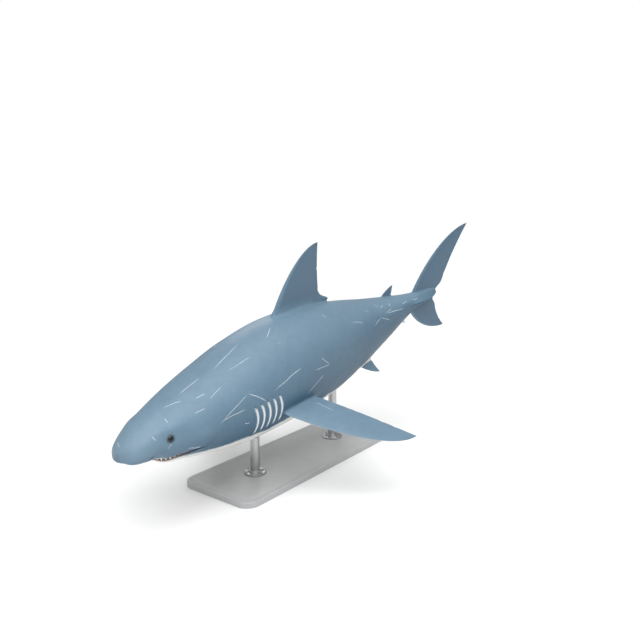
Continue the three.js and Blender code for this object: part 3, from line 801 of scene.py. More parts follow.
def buildTeeth(name, rows, seed):
    dice = np.random.default_rng(seed)
    points, faces, crown, start = [], [], [], 0
    for key, row, path, side, k in eachTooth(rows):
        run, count, down = runAlong(path), row["perSide"], 1 if row["jaw"] == "roof" else -1
        along = run[-1] / 2 * (1 + side * (k + 0.5) / count * 0.985)
        spot, ahead, behind = (np.array([np.interp(along + step, run, path[:, n]) for n in range(3)])
                               for step in (0, 0.004, -0.004))
        across = (ahead - behind) * side
        across[2] = 0
        across = unit(across)
        size = (1 - toothSize["smallerAtBack"] * (k / (count - 1)) ** 1.5) * dice.uniform(*toothSize["scatter"])
        if key.startswith("upper") and k == 2:
            size *= toothSize["shortThird"]    # the third upper tooth is short in life
        tall, wide = row["length"] * size, min(row["width"] * size, run[-1] / count / 2 * 0.97)
        rings, tip, v = blade(wide, tall + row["root"] * 0.6, wide * 0.3, wide * 0.16)
        inward = np.cross([0, 0, 1.0], across) * -side
        if np.dot(inward, [alongBody(0.09) - spot[0], -spot[1], 0]) < 0:
            inward = -inward
        lean = math.radians(row["lean"] + dice.uniform(*toothSize["leanScatter"]))
        axis = np.array([0, 0, -1.0 * down]) * math.cos(lean) + inward * math.sin(lean)
        through = np.cross(across, axis)
        if np.dot(through, inward) < 0:
            through = -through
        ways = np.stack([across, through, axis])
        flat = np.concatenate([rings.reshape(-1, 3), [rings[0].mean(0), tip]])
        points.append(flat @ ways + spot + np.array([0, 0, down * row["root"]]))
        crown.append(np.concatenate([np.repeat(v, rings.shape[1]), [0, 1]]))
        own = loftFaces(*rings.shape[:2])
        if np.linalg.det(ways) < 0:
            own = [face[::-1] for face in own]
        faces += [tuple(index + start for index in face) for face in own]
        start += len(flat)
    made = newObject(name, pose(np.concatenate(points)), faces)
    made.data.set_sharp_from_angle(angle=math.radians(50))
    addField(made, "crown", np.concatenate(crown))
    return made


def buildEye(name, side):
    ways = surfaceFrame(eyes["at"], eyes["height"], side)[1]
    centre, radius = eyePlace(side), eyes["radius"]
    tilt = np.concatenate([np.linspace(0.02, 1.1, 34), np.linspace(1.2, math.pi - 0.05, 14)])
    bulge = radius * (1 + 0.045 * np.exp(-(tilt / 0.62) ** 2))    # the clear front stands out a little
    poles = [np.array([0, 0, z]) @ ways + centre for z in (bulge[0], -radius)]
    made = loft(name, globeRings(tilt, bulge, 64) @ ways + centre, *poles)
    addField(made, "iris", (pointsOf(made) - centre) @ ways.T / radius)
    setPoints(made, pose(pointsOf(made)))
    return made


skin = body
skin.name = skin.data.name = "shark_skin"
markSkin(skin)
setPoints(skin, pose(pointsOf(skin)))
skin.data.set_sharp_from_angle(angle=math.radians(62))
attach(skin, "root")
flesh = [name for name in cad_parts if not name.startswith(("eye_", "stand_"))]
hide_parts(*flesh)

upperTeeth = buildTeeth("teeth_upper", ("upper", "upperSpare"), 5)
lowerTeeth = buildTeeth("teeth_lower", ("lower", "lowerSpare"), 8)
for row in (upperTeeth, lowerTeeth):
    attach(row, "root")
leftEye, rightEye = buildEye("eyeball_left", -1), buildEye("eyeball_right", 1)
for eye, node in ((leftEye, "eye_left"), (rightEye, "eye_right")):
    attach(eye, "root")
    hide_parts(node)
print("teeth and eyes made")


stand = {
    "length": 1.9, "width": 0.72, "thickness": 0.046, "corner": 0.11, "edgeRound": 0.006,
    "groove": 0.034,          # how far in from the edge the routed line runs
    "postRadius": 0.038, "postsAt": (-0.495, 0.54), "cupRadius": 0.047, "cupHeight": 0.05,
    "collarRadius": 0.088, "collarHeight": 0.034, "flange": 0.014, "boltCircle": 0.068, "bolts": 6,
    "socket": 0.0048,         # half the width of a bolt's socket
}


def roundedRing(inset, z, segments=14):
    # points of a rounded rectangle, drawn in from the base's outline
    radius = max(stand["corner"] - inset, 0.004)
    reachX, reachY = stand["length"] / 2 - inset - radius, stand["width"] / 2 - inset - radius
    ring = []
    corners = ((reachX, reachY), (-reachX, reachY), (-reachX, -reachY), (reachX, -reachY))
    for quarter, (cx, cy) in enumerate(corners):
        for k in range(segments + 1):
            turn = (quarter + k / segments) * math.pi / 2
            ring.append((cx + radius * math.cos(turn), cy + radius * math.sin(turn), z))
    return ring


def turned(profile, x, y=0, sides=64):
    # rings of a profile of (radius, height) swept round an upright line
    turn = turns(sides)
    return [np.stack([x + r * np.cos(turn), y + r * np.sin(turn), np.full(sides, z)], 1) for r, z in profile]


def rounded(profile, size, steps=4):
    # softens every inner corner of a profile of (radius, height)
    soft = [profile[0]]
    for before, corner, after in zip(profile, profile[1:], profile[2:]):
        a, b, c = (np.array(p, float) for p in (before, corner, after))
        for k in range(steps + 1):
            t = k / steps
            start, end = (b + (other - b) / np.linalg.norm(other - b) * min(size, np.linalg.norm(other - b) / 2.2)
                          for other in (a, c))
            soft.append(tuple((1 - t) ** 2 * start + 2 * t * (1 - t) * b + t * t * end))
    return soft + [profile[-1]]


def bolt(x, y, z):
    # a washer and a round head with a six-sided socket
    turn = turns(24)
    hexRadius = stand["socket"] / np.maximum(np.cos((turn + math.pi / 6) % (math.pi / 3) - math.pi / 6), 0.5)
    steps = [(0.0125, -0.002), (0.0125, 0.0016), (0.0112, 0.0022), (0.0092, 0.0022), (0.0092, 0.0085),
             (0.0086, 0.0094), (hexRadius * 1.08, 0.0094), (hexRadius, 0.0088), (hexRadius, 0.004)]
    return loft("bolt", turned([(r, z + h) for r, h in steps], x, y, 24))


def joined(name, pieces):
    # one mesh of several closed pieces
    points, faces, start = [], [], 0
    for piece in pieces:
        points.append(pointsOf(piece))
        faces += [tuple(i + start for i in f.vertices) for f in piece.data.polygons]
        start += len(points[-1])
        bpy.data.objects.remove(piece)
    return newObject(name, np.concatenate(points), faces)


def buildBase():
    top, soft = stand["thickness"], stand["edgeRound"]
    wall = [(0.0015, 0.0), (0.0, 0.0015), (0.0, top - soft)]
    wall += [(soft * (1 - math.cos(a)), top - soft + soft * math.sin(a))
             for a in np.linspace(0.15, math.pi / 2, 8)]
    line = stand["groove"]
    wall += [(line - 0.002, top), (line - 0.001, top - 0.0004), (line, top - 0.0022),
             (line + 0.001, top - 0.0004), (line + 0.002, top), (line + 0.05, top), (0.3, top)]
    return loft("base_plate", [roundedRing(inset, z) for inset, z in wall])


def buildPost(name, x):
    top = stand["thickness"]
    under = min((p.z for p in skinPoints if math.hypot(p.x - x, p.y) < 0.06), default=0.5)
    reach = under + 0.05
    radius, cup = stand["postRadius"], stand["cupRadius"]
    start = under - stand["cupHeight"]
    profile = rounded([(radius, top + 0.004), (radius, start), (cup, start + 0.006), (cup, reach)], 0.003)
    post = loft(name, turned(profile, x))
    carve(post, [placed("belly", skin.data.copy())], "DIFFERENCE")    # its top follows the belly
    return post


def buildCollar(name, x):
    top, radius, high, flange = (stand[key] for key in ("thickness", "collarRadius", "collarHeight", "flange"))
    inner, under = stand["postRadius"] + 0.0004, top + 0.0002
    profile = rounded([(inner, under), (radius, under), (radius, top + flange - 0.002),
                       (radius - 0.006, top + flange), (0.054, top + flange), (0.0475, top + high),
                       (inner, top + high)], 0.0016)
    pieces = [hoop("ring", turned(profile, x, sides=72))]
    place = stand["boltCircle"]
    for k in range(stand["bolts"]):
        turn = (k + 0.5) / stand["bolts"] * 2 * math.pi
        pieces.append(bolt(x + place * math.cos(turn), place * math.sin(turn), top + flange - 0.0002))
    return joined(name, pieces)


skinPoints = [v.co.copy() for v in skin.data.vertices if v.co.z < 0.75]
basePlate = buildBase()
posts = [buildPost(name, x) for name, x in zip(("post_front", "post_rear"), stand["postsAt"])]
collars = [buildCollar(name, x) for name, x in zip(("collar_front", "collar_rear"), stand["postsAt"])]
standPieces = [(basePlate, "stand_base", "stand_paint")]
standPieces += [(piece, "stand_" + piece.name, "stand_steel") for piece in posts + collars]
for piece, node, slot in standPieces:
    piece.data.polygons.foreach_set("use_smooth", [True] * len(piece.data.polygons))
    piece.data.set_sharp_from_angle(angle=math.radians(38))
    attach(piece, "root")
    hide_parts(node)
print("stand made")


# small helpers for writing shader nodes
def feed(tree, socket, value):
    if isinstance(value, bpy.types.NodeSocket):
        tree.links.new(value, socket)
    elif value is not None:
        socket.default_value = value


def addNode(tree, kind, settings=None, **inputs):
    node = tree.nodes.new("ShaderNode" + kind)
    for key, value in (settings or {}).items():
        setattr(node, key, value)
    for key, value in inputs.items():
        feed(tree, node.inputs[key.replace("_", " ")], value)
    return node


def fedInOrder(tree, kind, how, values):
    node = addNode(tree, kind, how)
    for socket, value in zip(node.inputs, values):
        feed(tree, socket, value)
    return node.outputs


def calc(tree, how, *values):
    return fedInOrder(tree, "Math", {"operation": how}, values)[0]


def times(tree, first, second):
    return calc(tree, "MULTIPLY", first, second)


def plus(tree, first, second):
    return calc(tree, "ADD", first, second)


def minus(tree, first, second):
    return calc(tree, "SUBTRACT", first, second)


def swing(tree, mask, reach):
    # a mask made to go as far below nothing as above it
    return times(tree, minus(tree, mask, 0.5), reach)


def vectorCalc(tree, how, *values, out=0):
    return fedInOrder(tree, "VectorMath", {"operation": how}, values)[out]


def span(tree, value, low, high, start=0.0, end=1.0):
    # eases from start to end while value goes from low to high
    return fedInOrder(tree, "MapRange", {"interpolation_type": "SMOOTHSTEP"}, (value, low, high, start, end))[0]


def clamped(tree, value):
    return addNode(tree, "Clamp", Value=value).outputs[0]


def blend(tree, share, first, second):
    node = addNode(tree, "Mix", {"data_type": "RGBA"})
    for socket, value in zip((node.inputs[0], node.inputs[6], node.inputs[7]), (share, first, second)):
        feed(tree, socket, (*value, 1.0) if isinstance(value, tuple) else value)
    return node.outputs[2]


def noise(tree, where, scale, detail=3.0, rough=0.5, distort=0.0):
    return addNode(tree, "TexNoise", Vector=where, Scale=scale, Detail=detail, Roughness=rough,
                   Distortion=distort).outputs["Fac"]


def cellsOf(tree, where, scale):
    return addNode(tree, "TexVoronoi", {"feature": "F1"}, Vector=where, Scale=scale).outputs["Distance"]


def partsOf(tree, vector):
    return addNode(tree, "SeparateXYZ", Vector=vector).outputs


def field(tree, name, vector=False):
    return addNode(tree, "Attribute", {"attribute_name": name}).outputs["Vector" if vector else "Fac"]


def newGroup(name, inputs, outputs):
    # sockets by name with their starting values, where None makes a vector
    tree = bpy.data.node_groups.new(name, "ShaderNodeTree")
    for way, sockets in (("INPUT", inputs), ("OUTPUT", outputs)):
        for label, start in sockets.items():
            kind = "NodeSocketVector" if start is None else "NodeSocketFloat"
            made = tree.interface.new_socket(name=label, in_out=way, socket_type=kind)
            if start is not None:
                made.default_value = start
    return tree, tree.nodes.new("NodeGroupInput").outputs, tree.nodes.new("NodeGroupOutput").inputs


def useGroup(tree, group, **inputs):
    return addNode(tree, "Group", {"node_tree": group}, **inputs).outputs


def newMaterial(name, **fixed):
    made = bpy.data.materials.new(name)
    made.use_nodes = True
    tree = made.node_tree
    shader = tree.nodes["Principled BSDF"]
    for key, value in fixed.items():
        feed(tree, shader.inputs[key.replace("_", " ")], value)
    return made, tree, shader.inputs


def bumpInto(tree, inputs, height, distance, strength=1.0):
    node = addNode(tree, "Bump", Height=height, Distance=distance, Strength=strength)
    feed(tree, inputs["Normal"], node.outputs["Normal"])


# effects that several materials share
def buildSoftMottle():
    # broad uneven patches, from about 0 to 1
    t, g, out = newGroup("softMottle", {"Place": None, "Size": 0.2, "Spread": 1.0}, {"Mask": 0.0})
    perMetre = calc(t, "DIVIDE", 1.0, g["Size"])
    broad = noise(t, g["Place"], perMetre, 4.0, 0.55, 0.3)
    finer = noise(t, vectorCalc(t, "ADD", g["Place"], (3.1, 1.7, 5.3)), times(t, perMetre, 4.3), 3.0, 0.6)
    both = plus(t, times(t, broad, 0.7), times(t, finer, 0.3))
    feed(t, out["Mask"], clamped(t, plus(t, swing(t, both, times(t, g["Spread"], 2.6)), 0.5)))
    return t


def buildFineGrain():
    # tiny grains, as height and as a mask that breaks up gloss
    t, g, out = newGroup("fineGrain", {"Place": None, "Size": 0.0015, "Roughness": 0.6},
                         {"Height": 0.0, "Mask": 0.0})
    perMetre = calc(t, "DIVIDE", 1.0, g["Size"])
    cells = cellsOf(t, g["Place"], perMetre)
    dust = noise(t, g["Place"], times(t, perMetre, 0.6), 4.0, g["Roughness"])
    feed(t, out["Height"], minus(t, dust, times(t, cells, 0.45)))
    feed(t, out["Mask"], span(t, dust, 0.32, 0.7))
    return t


def buildHairLines():
    # short hair-thin lines that run one way, broken up along their length
    t, g, out = newGroup("hairLines", {"Place": None, "Size": 0.3, "Turn": 0.0, "Sparse": 0.6}, {"Mask": 0.0})
    rotated = addNode(t, "VectorRotate", {"rotation_type": "Z_AXIS"}, Vector=g["Place"], Angle=g["Turn"]).outputs[0]
    stretched = vectorCalc(t, "MULTIPLY", rotated, (1.0, 7.0, 7.0))
    perMetre = calc(t, "DIVIDE", 1.0, g["Size"])
    waves = noise(t, stretched, perMetre, 2.0, 0.45, 0.2)
    line = span(t, calc(t, "ABSOLUTE", minus(t, waves, 0.52)), 0.0, 0.0045, 1.0, 0.0)
    patch = noise(t, vectorCalc(t, "ADD", stretched, (9.3, 2.2, 4.1)), times(t, perMetre, 2.1), 2.0)
    feed(t, out["Mask"], times(t, line, span(t, patch, g["Sparse"], plus(t, g["Sparse"], 0.07))))
    return t


def buildScarStroke():
    # one healed scratch: a thin line between two points of the flank, fading at its ends. It adds itself to
    # the ones before it and hands the place on, so that a row of them is worked out one after another.
    t, g, out = newGroup("scarStroke", {"Place": None, "Before": 0.0, "From": None, "To": None, "Width": 0.004},
                         {"Mask": 0.0, "Place": None})
    way = vectorCalc(t, "SUBTRACT", g["To"], g["From"])
    here = vectorCalc(t, "SUBTRACT", g["Place"], g["From"])
    share = clamped(t, calc(t, "DIVIDE", vectorCalc(t, "DOT_PRODUCT", here, way, out=1),
                            vectorCalc(t, "DOT_PRODUCT", way, way, out=1)))
    nearest = addNode(t, "VectorMath", {"operation": "SCALE"}, Vector=way, Scale=share).outputs[0]
    away = vectorCalc(t, "LENGTH", vectorCalc(t, "SUBTRACT", here, nearest), out=1)
    taper = times(t, span(t, share, 0.0, 0.18, 0.1, 1.0), span(t, share, 0.72, 1.0, 1.0, 0.05))
    across = calc(t, "DIVIDE", away, times(t, g["Width"], 0.5))
    mask = calc(t, "MAXIMUM", times(t, span(t, across, 0.4, 1.3, 1.0, 0.0), taper), g["Before"])
    feed(t, out["Mask"], mask)
    feed(t, out["Place"], vectorCalc(t, "ADD", g["Place"], times(t, mask, 1e-6)))
    return t


softMottle, fineGrain, hairLines, scarStroke = (
    build() for build in (buildSoftMottle, buildFineGrain, buildHairLines, buildScarStroke))


def mottled(tree, where, size, spread):
    return useGroup(tree, softMottle, Place=where, Size=size, Spread=spread)["Mask"]


def scratched(tree, where, size, turn, sparse):
    return useGroup(tree, hairLines, Place=where, Size=size, Turn=turn, Sparse=sparse)["Mask"]


def objectPlace(tree):
    return addNode(tree, "TexCoord").outputs["Object"]


# Of the skin's colours below, the dark blue that darkens skin facing down, the fin colour, and the groove and
# nostril colours are painted shade, and the snout's light grey is painted light
skinFinish = {
    "back": (0.142, 0.229, 0.307), "flank": (0.156, 0.252, 0.336), "lowFlank": (0.022, 0.08, 0.14),
    "fin": (0.075, 0.14, 0.205), "finTip": (0.035, 0.042, 0.05), "snout": (0.5, 0.52, 0.54),
    "blotch": (0.07, 0.1, 0.13), "speck": (0.06, 0.085, 0.11), "pore": (0.035, 0.045, 0.055),
    "belly": (0.76, 0.775, 0.765), "bellyShade": (0.62, 0.625, 0.6),
    "scar": (0.7, 0.75, 0.78), "rim": (0.8, 0.83, 0.84), "groove": (0.06, 0.045, 0.05),
    "lid": (0.035, 0.05, 0.066), "nostril": (0.02, 0.02, 0.022),
    "mouth": (0.5, 0.235, 0.215), "mouthPale": (0.66, 0.4, 0.37),
    # how strongly some of them cover what they lie on
    "cover": {"fin": 0.76, "blotch": 0.16, "speck": 0.22, "rim": 0.95, "scar": 0.84, "pore": 0.4, "lid": 0.75},
    "lineRaggedness": 0.034,   # metres that the edge of the white belly wanders
    "edgeSoftness": 0.011,
    "mottle": 0.75, "grain": 0.0016, "roughness": 0.5,
    # heights of the relief in metres
    "relief": {"grain": 0.00016, "scar": 0.0007, "pore": 0.0006, "wrinkle": 0.0007, "swell": 0.004},
    "scarUnits": 1400,         # how many of the units of a scratch's width make a metre
}
# healed scratches on the flanks: where each begins and ends, metres behind the snout and metres round
# from the middle of the back (less than nothing on the right side), and its width
scars = [
    # head and shoulders, left
    ((1.13, 0.07), (0.8, 0.11), 7), ((1.09, 0.23), (0.87, 0.2), 5), ((0.7, 0.09), (0.5, 0.08), 7),
    ((0.37, 0.07), (0.49, 0.14), 6), ((0.76, 0.26), (0.63, 0.27), 5), ((0.56, 0.2), (0.64, 0.22), 6),
    ((0.49, 0.27), (0.58, 0.3), 6), ((0.9, 0.42), (0.63, 0.46), 6), ((0.86, 0.5), (0.64, 0.45), 5),
    ((0.91, 0.42), (1.05, 0.55), 8), ((0.32, 0.14), (0.32, 0.19), 5), ((0.19, 0.18), (0.2, 0.22), 5),
    ((0.3, 0.31), (0.26, 0.34), 5), ((0.39, 0.45), (0.49, 0.53), 5), ((0.06, -0.04), (0.03, 0.01), 4),
    ((0.83, 0.6), (0.88, 0.62), 7),
    # trunk, fin and tail, left
    ((1.46, 0.49), (1.12, 0.52), 7), ((1.71, 0.63), (1.47, 0.73), 7), ((1.7, 0.5), (1.79, 0.58), 7),
    ((1.79, 0.58), (1.58, 0.56), 5), ((1.53, 0.9), (1.57, 1.24), 6), ((1.44, 0.11), (1.32, 0.18), 7),
    ((3.22, 0.23), (2.85, 0.28), 8), ((2.59, 0.39), (2.74, 0.32), 7), ((2.74, 0.32), (2.91, 0.35), 7),
    ((2.27, 0.33), (2.43, 0.35), 6), ((2.56, 0.23), (2.61, 0.26), 6), ((3.44, 0.13), (3.55, 0.11), 9),
    ((2.79, 0.15), (2.82, 0.21), 6), ((2.82, 0.21), (2.91, 0.17), 6), ((2.98, 0.2), (3.03, 0.15), 7),
    ((2.86, 0.27), (3.0, 0.23), 6), ((3.22, 0.18), (3.33, 0.14), 8), ((1.98, 0.2), (1.99, 0.24), 6),
    # right side
    ((0.66, -0.14), (0.92, -0.22), 6), ((1.2, -0.35), (1.0, -0.42), 7), ((0.42, -0.2), (0.5, -0.27), 5),
    ((1.62, -0.3), (1.95, -0.38), 7), ((2.2, -0.2), (2.35, -0.31), 6), ((2.7, -0.25), (2.62, -0.37), 6),
    ((1.05, -0.1), (1.12, -0.21), 5), ((0.83, -0.48), (0.95, -0.55), 6), ((3.1, -0.2), (3.3, -0.24), 7),
    ((1.5, -0.95), (1.58, -1.2), 6),
]


def layer(t, f, colour, mask, key):
    # one of the finish's colours laid over another
    strength = f["cover"].get(key)
    return blend(t, mask if strength is None else times(t, mask, strength), colour, f[key])


def slateColour(t, f, place, along, above, mottle, blotch):
    # darker along the back and a little lighter low on the flank
    tone = plus(t, span(t, above, 0.1, 0.52, 0.82, 0.1), swing(t, mottle, 0.5))
    slate = blend(t, clamped(t, tone), f["back"], f["flank"])
    # painted shade on the sides of the dorsal fins and the tail, with a lighter leading edge as a painted highlight
    slate = layer(t, f, slate, field(t, "fin"), "fin")
    slate = layer(t, f, slate, span(t, blotch, 0.35, 0.9), "blotch")
    # painted light: the snout is mixed a little lighter towards its tip
    slate = layer(t, f, slate, span(t, along, 0.05, 0.4, 0.05, 0.0), "snout")
    speck = times(t, span(t, cellsOf(t, place, 62.0), 0.05, 0.17, 1.0, 0.0),
                  span(t, noise(t, place, 3.0, 2.0), 0.5, 0.66))
    return layer(t, f, slate, speck, "speck")


def scratchLines(t, f, wrap, along, pale):
    jitter = addNode(t, "TexNoise", Vector=wrap, Scale=11.0, Detail=4.0).outputs["Color"]
    jitter = vectorCalc(t, "MULTIPLY", vectorCalc(t, "SUBTRACT", jitter, (0.5, 0.5, 0.5)), (0.018, 0.018, 0.0))
    strokes, onward = 0.0, vectorCalc(t, "ADD", wrap, jitter)
    for begin, finish, wide in scars:
        made = useGroup(t, scarStroke, Place=onward, Before=strokes, From=(*begin, 0.0), To=(*finish, 0.0),
                        Width=wide / f["scarUnits"])
        strokes, onward = made["Mask"], made["Place"]
    hair = calc(t, "MAXIMUM", scratched(t, wrap, 0.42, 0.6, 0.6), scratched(t, wrap, 0.3, -0.35, 0.62))
    broken = span(t, noise(t, wrap, 75.0, 3.0, 0.65), 0.36, 0.55, 0.5, 1.0)
    hair = times(t, hair, span(t, along, 0.3, 0.8, 0.0, 0.25))
    lines = calc(t, "MAXIMUM", hair, times(t, strokes, broken))
    return times(t, lines, minus(t, 1.0, times(t, pale, 0.8)))


def buildSkinMaterial():
    f = skinFinish
    made, t, into = newMaterial("sharkSkin", Coat_Weight=0.12, Coat_Roughness=0.32, IOR=1.42)
    place, wrap = field(t, "place", True), field(t, "wrap", True)
    above = field(t, "above")
    mottle = mottled(t, place, 0.34, f["mottle"])
    blotch = mottled(t, vectorCalc(t, "ADD", place, (7.0, 3.0, 1.0)), 0.07, 0.8)
    grain = useGroup(t, fineGrain, Place=place, Size=f["grain"])
    along = partsOf(t, place)[0]
    slate = slateColour(t, f, place, along, above, mottle, blotch)

    # the white belly, with a ragged edge and a few stray flecks
    ragged = f["lineRaggedness"]
    wander = swing(t, noise(t, place, 4.0, 3.0, 0.55, 0.6), span(t, along, 0.2, 1.8, ragged * 0.8, ragged * 3.0))
    fleck = swing(t, noise(t, place, 30.0, 4.0, 0.62), 0.022)
    edge = plus(t, plus(t, above, wander), fleck)
    pale = span(t, edge, -f["edgeSoftness"], f["edgeSoftness"], 1.0, 0.0)
    colour = blend(t, pale, slate, blend(t, mottled(t, place, 0.16, 1.0), f["belly"], f["bellyShade"]))

    # painted shade: darker where the skin faces down, more so towards the tail and less on the snout, and in a
    # close band over the white belly
    down = minus(t, field(t, "facing"), span(t, along, 1.9, 2.7, 0.0, 0.22))
    paintedShadeBand = times(t, span(t, down, -0.6, 0.62, 1.0, 0.0), span(t, along, 0.05, 0.9, 0.4, 1.0))
    paintedShadeOverBelly = times(t, span(t, edge, 0.02, 0.15, 0.62, 0.0), span(t, along, 0.3, 0.7))
    paintedShadeBand = times(t, calc(t, "MAXIMUM", paintedShadeBand, paintedShadeOverBelly), minus(t, 1.0, pale))
    colour = layer(t, f, colour, paintedShadeBand, "lowFlank")

    # dark fin tips and armpits
    dark = field(t, "dark")
    darkEdge = plus(t, dark, swing(t, noise(t, place, 9.0, 3.0, 0.5), 0.6))
    darkMask = times(t, span(t, darkEdge, 0.42, 0.62), span(t, dark, 0.02, 0.2))
    colour = layer(t, f, colour, times(t, darkMask, span(t, pale, 0.0, 1.0, 0.5, 0.92)), "finTip")

    # gill slits: pale worn rims round a groove painted dark as the shade inside it
    rimEdge = plus(t, field(t, "rim"), swing(t, noise(t, place, 60.0, 3.0), 0.45))
    colour = layer(t, f, colour, span(t, rimEdge, 0.12, 0.86), "rim")
    colour = layer(t, f, colour, span(t, field(t, "groove"), 0.2, 0.8), "groove")

    lines = scratchLines(t, f, wrap, along, pale)
    colour = layer(t, f, colour, lines, "scar")

    # pores of the snout
    zone = times(t, span(t, along, 0.2, 0.4, 1.0, 0.0), span(t, noise(t, place, 16.0, 2.0), 0.42, 0.6))
    pores = times(t, span(t, cellsOf(t, place, 120.0), 0.1, 0.2, 1.0, 0.0), zone)
    colour = layer(t, f, colour, pores, "pore")

    # darker skin round the eye, mouth lining, and painted shade in the nostrils
    colour = layer(t, f, colour, field(t, "lid"), "lid")
    lining = span(t, plus(t, field(t, "lining"), swing(t, blotch, 0.3)), 0.3, 0.75)
    flesh = blend(t, mottled(t, place, 0.03, 1.2), f["mouth"], f["mouthPale"])
    colour = blend(t, lining, colour, flesh)
    colour = layer(t, f, colour, span(t, field(t, "hollow"), 0.2, 0.7), "nostril")
    feed(t, into["Base Color"], colour)

    rough = plus(t, f["roughness"] - 0.06, times(t, grain["Mask"], 0.1))
    rough = minus(t, plus(t, rough, swing(t, mottle, 0.12)), times(t, lining, 0.24))
    feed(t, into["Roughness"], rough)

    high = f["relief"]
    height = minus(t, times(t, grain["Height"], high["grain"]), times(t, lines, high["scar"]))
    height = minus(t, height, times(t, pores, high["pore"]))
    wrinkle = noise(t, vectorCalc(t, "MULTIPLY", place, (38.0, 22.0, 22.0)), 1.0, 4.0, 0.6, 0.8)
    height = plus(t, height, times(t, wrinkle, high["wrinkle"]))
    height = plus(t, height, times(t, noise(t, place, 7.0, 2.0, 0.4), high["swell"]))
    bumpInto(t, into, height, 1.0, 0.8)
    return made


skin.data.materials.clear()
skin.data.materials.append(buildSkinMaterial())
print("skin finished")


toothFinish = {"root": (0.62, 0.52, 0.36), "crown": (0.86, 0.84, 0.76), "edge": (0.8, 0.82, 0.82)}


def buildToothMaterial():
    f = toothFinish
    made, t, into = newMaterial("toothEnamel", Coat_Weight=0.5, Coat_Roughness=0.12, IOR=1.6,
                                Subsurface_Weight=0.15, Subsurface_Scale=0.004)
    crown, where = field(t, "crown"), objectPlace(t)
    stain = mottled(t, where, 0.012, 1.1)
    colour = blend(t, span(t, plus(t, crown, swing(t, stain, 0.3)), 0.05, 0.4), f["root"], f["crown"])
    colour = blend(t, span(t, crown, 0.7, 1.0, 0.0, 0.7), colour, f["edge"])
    feed(t, into["Base Color"], colour)
    feed(t, into["Roughness"], span(t, stain, 0.0, 1.0, 0.2, 0.34))
    ridges = noise(t, vectorCalc(t, "MULTIPLY", where, (900.0, 900.0, 60.0)), 1.0, 2.0)
    bumpInto(t, into, ridges, 0.0002, 0.5)
    return made


enamel = buildToothMaterial()
for row in (upperTeeth, lowerTeeth):
    row.data.materials.append(enamel)

eyeFinish = {"pupil": (0.002, 0.002, 0.003), "iris": (0.009, 0.011, 0.015), "ring": (0.03, 0.037, 0.048),
             "rim": (0.006, 0.007, 0.009), "pupilSize": 0.42, "irisSize": 0.68}


def buildEyeMaterial():
    f = eyeFinish
    pupil, edge = f["pupilSize"], f["irisSize"]
    made, t, into = newMaterial("eyeGloss", Coat_Weight=0.4, Coat_Roughness=0.02, IOR=1.34, Roughness=0.2,
                                Specular_IOR_Level=0.3)
    across, up = partsOf(t, field(t, "iris", True))[:2]
    out = calc(t, "SQRT", plus(t, calc(t, "POWER", across, 2.0), calc(t, "POWER", up, 2.0)))
    turn = calc(t, "ARCTAN2", up, across)
    # fibres that run out from the pupil
    spread = addNode(t, "CombineXYZ", X=times(t, calc(t, "SINE", turn), 9.0),
                     Y=times(t, calc(t, "COSINE", turn), 9.0), Z=times(t, out, 2.2)).outputs[0]
    fibres = noise(t, spread, 1.6, 4.0, 0.65)
    iris = blend(t, span(t, fibres, 0.35, 0.7), f["iris"], f["ring"])
    iris = blend(t, span(t, out, pupil + 0.12, edge, 0.0, 0.85), iris, f["iris"])
    colour = blend(t, span(t, out, pupil - 0.015, pupil + 0.03), f["pupil"], iris)
    feed(t, into["Base Color"], blend(t, span(t, out, edge - 0.03, edge + 0.03), colour, f["rim"]))
    bumpInto(t, into, times(t, fibres, span(t, out, pupil, pupil + 0.05)), 0.0004, 0.4)
    return made


eyeGloss = buildEyeMaterial()
for eye in (leftEye, rightEye):
    eye.data.materials.append(eyeGloss)
print("teeth and eyes finished")


standFinish = {
    "paint": (0.4, 0.408, 0.415), "paintWorn": (0.48, 0.485, 0.485),
    "dust": (0.68, 0.67, 0.65), "scuff": (0.36, 0.365, 0.37),
    "steel": (0.56, 0.565, 0.57), "steelDark": (0.4, 0.405, 0.415), "smear": (0.7, 0.7, 0.7),
}


def buildPaint():
    f = standFinish
    made, t, into = newMaterial("satinPaint", Coat_Weight=0.15, Coat_Roughness=0.25)
    where = objectPlace(t)
    patch = mottled(t, where, 0.5, 0.8)
    grain = useGroup(t, fineGrain, Place=where, Size=0.0022)
    dust = times(t, mottled(t, where, 0.09, 1.4), grain["Mask"])
    scuff = scratched(t, where, 0.5, 0.9, 0.6)
    up = partsOf(t, addNode(t, "NewGeometry").outputs["Normal"])[2]
    settled = times(t, times(t, dust, span(t, up, 0.6, 1.0)), 0.3)
    colour = blend(t, times(t, patch, 0.35), f["paint"], f["paintWorn"])
    colour = blend(t, settled, colour, f["dust"])
    feed(t, into["Base Color"], blend(t, times(t, scuff, 0.25), colour, f["scuff"]))
    feed(t, into["Roughness"], plus(t, plus(t, 0.4, times(t, patch, 0.1)), times(t, settled, 0.3)))
    bumpInto(t, into, grain["Height"], 0.00018, 0.5)
    return made


def buildSteel():
    f = standFinish
    made, t, into = newMaterial("brushedSteel", Metallic=1.0, Anisotropic=0.35)
    where = objectPlace(t)
    brushed = noise(t, vectorCalc(t, "MULTIPLY", where, (60.0, 60.0, 2600.0)), 1.0, 3.0, 0.6)
    patch = mottled(t, where, 0.12, 1.0)
    smear = scratched(t, where, 0.2, 0.2, 0.58)
    colour = blend(t, times(t, brushed, 0.7), f["steel"], f["steelDark"])
    feed(t, into["Base Color"], blend(t, times(t, smear, 0.2), colour, f["smear"]))
    feed(t, into["Roughness"], plus(t, 0.24, plus(t, times(t, brushed, 0.16), times(t, patch, 0.1))))
    bumpInto(t, into, brushed, 0.00006, 0.6)
    return made


basePlate.data.materials.append(buildPaint())
steel = buildSteel()
for piece in posts + collars:
    piece.data.materials.clear()
    piece.data.materials.append(steel)
print("stand finished")


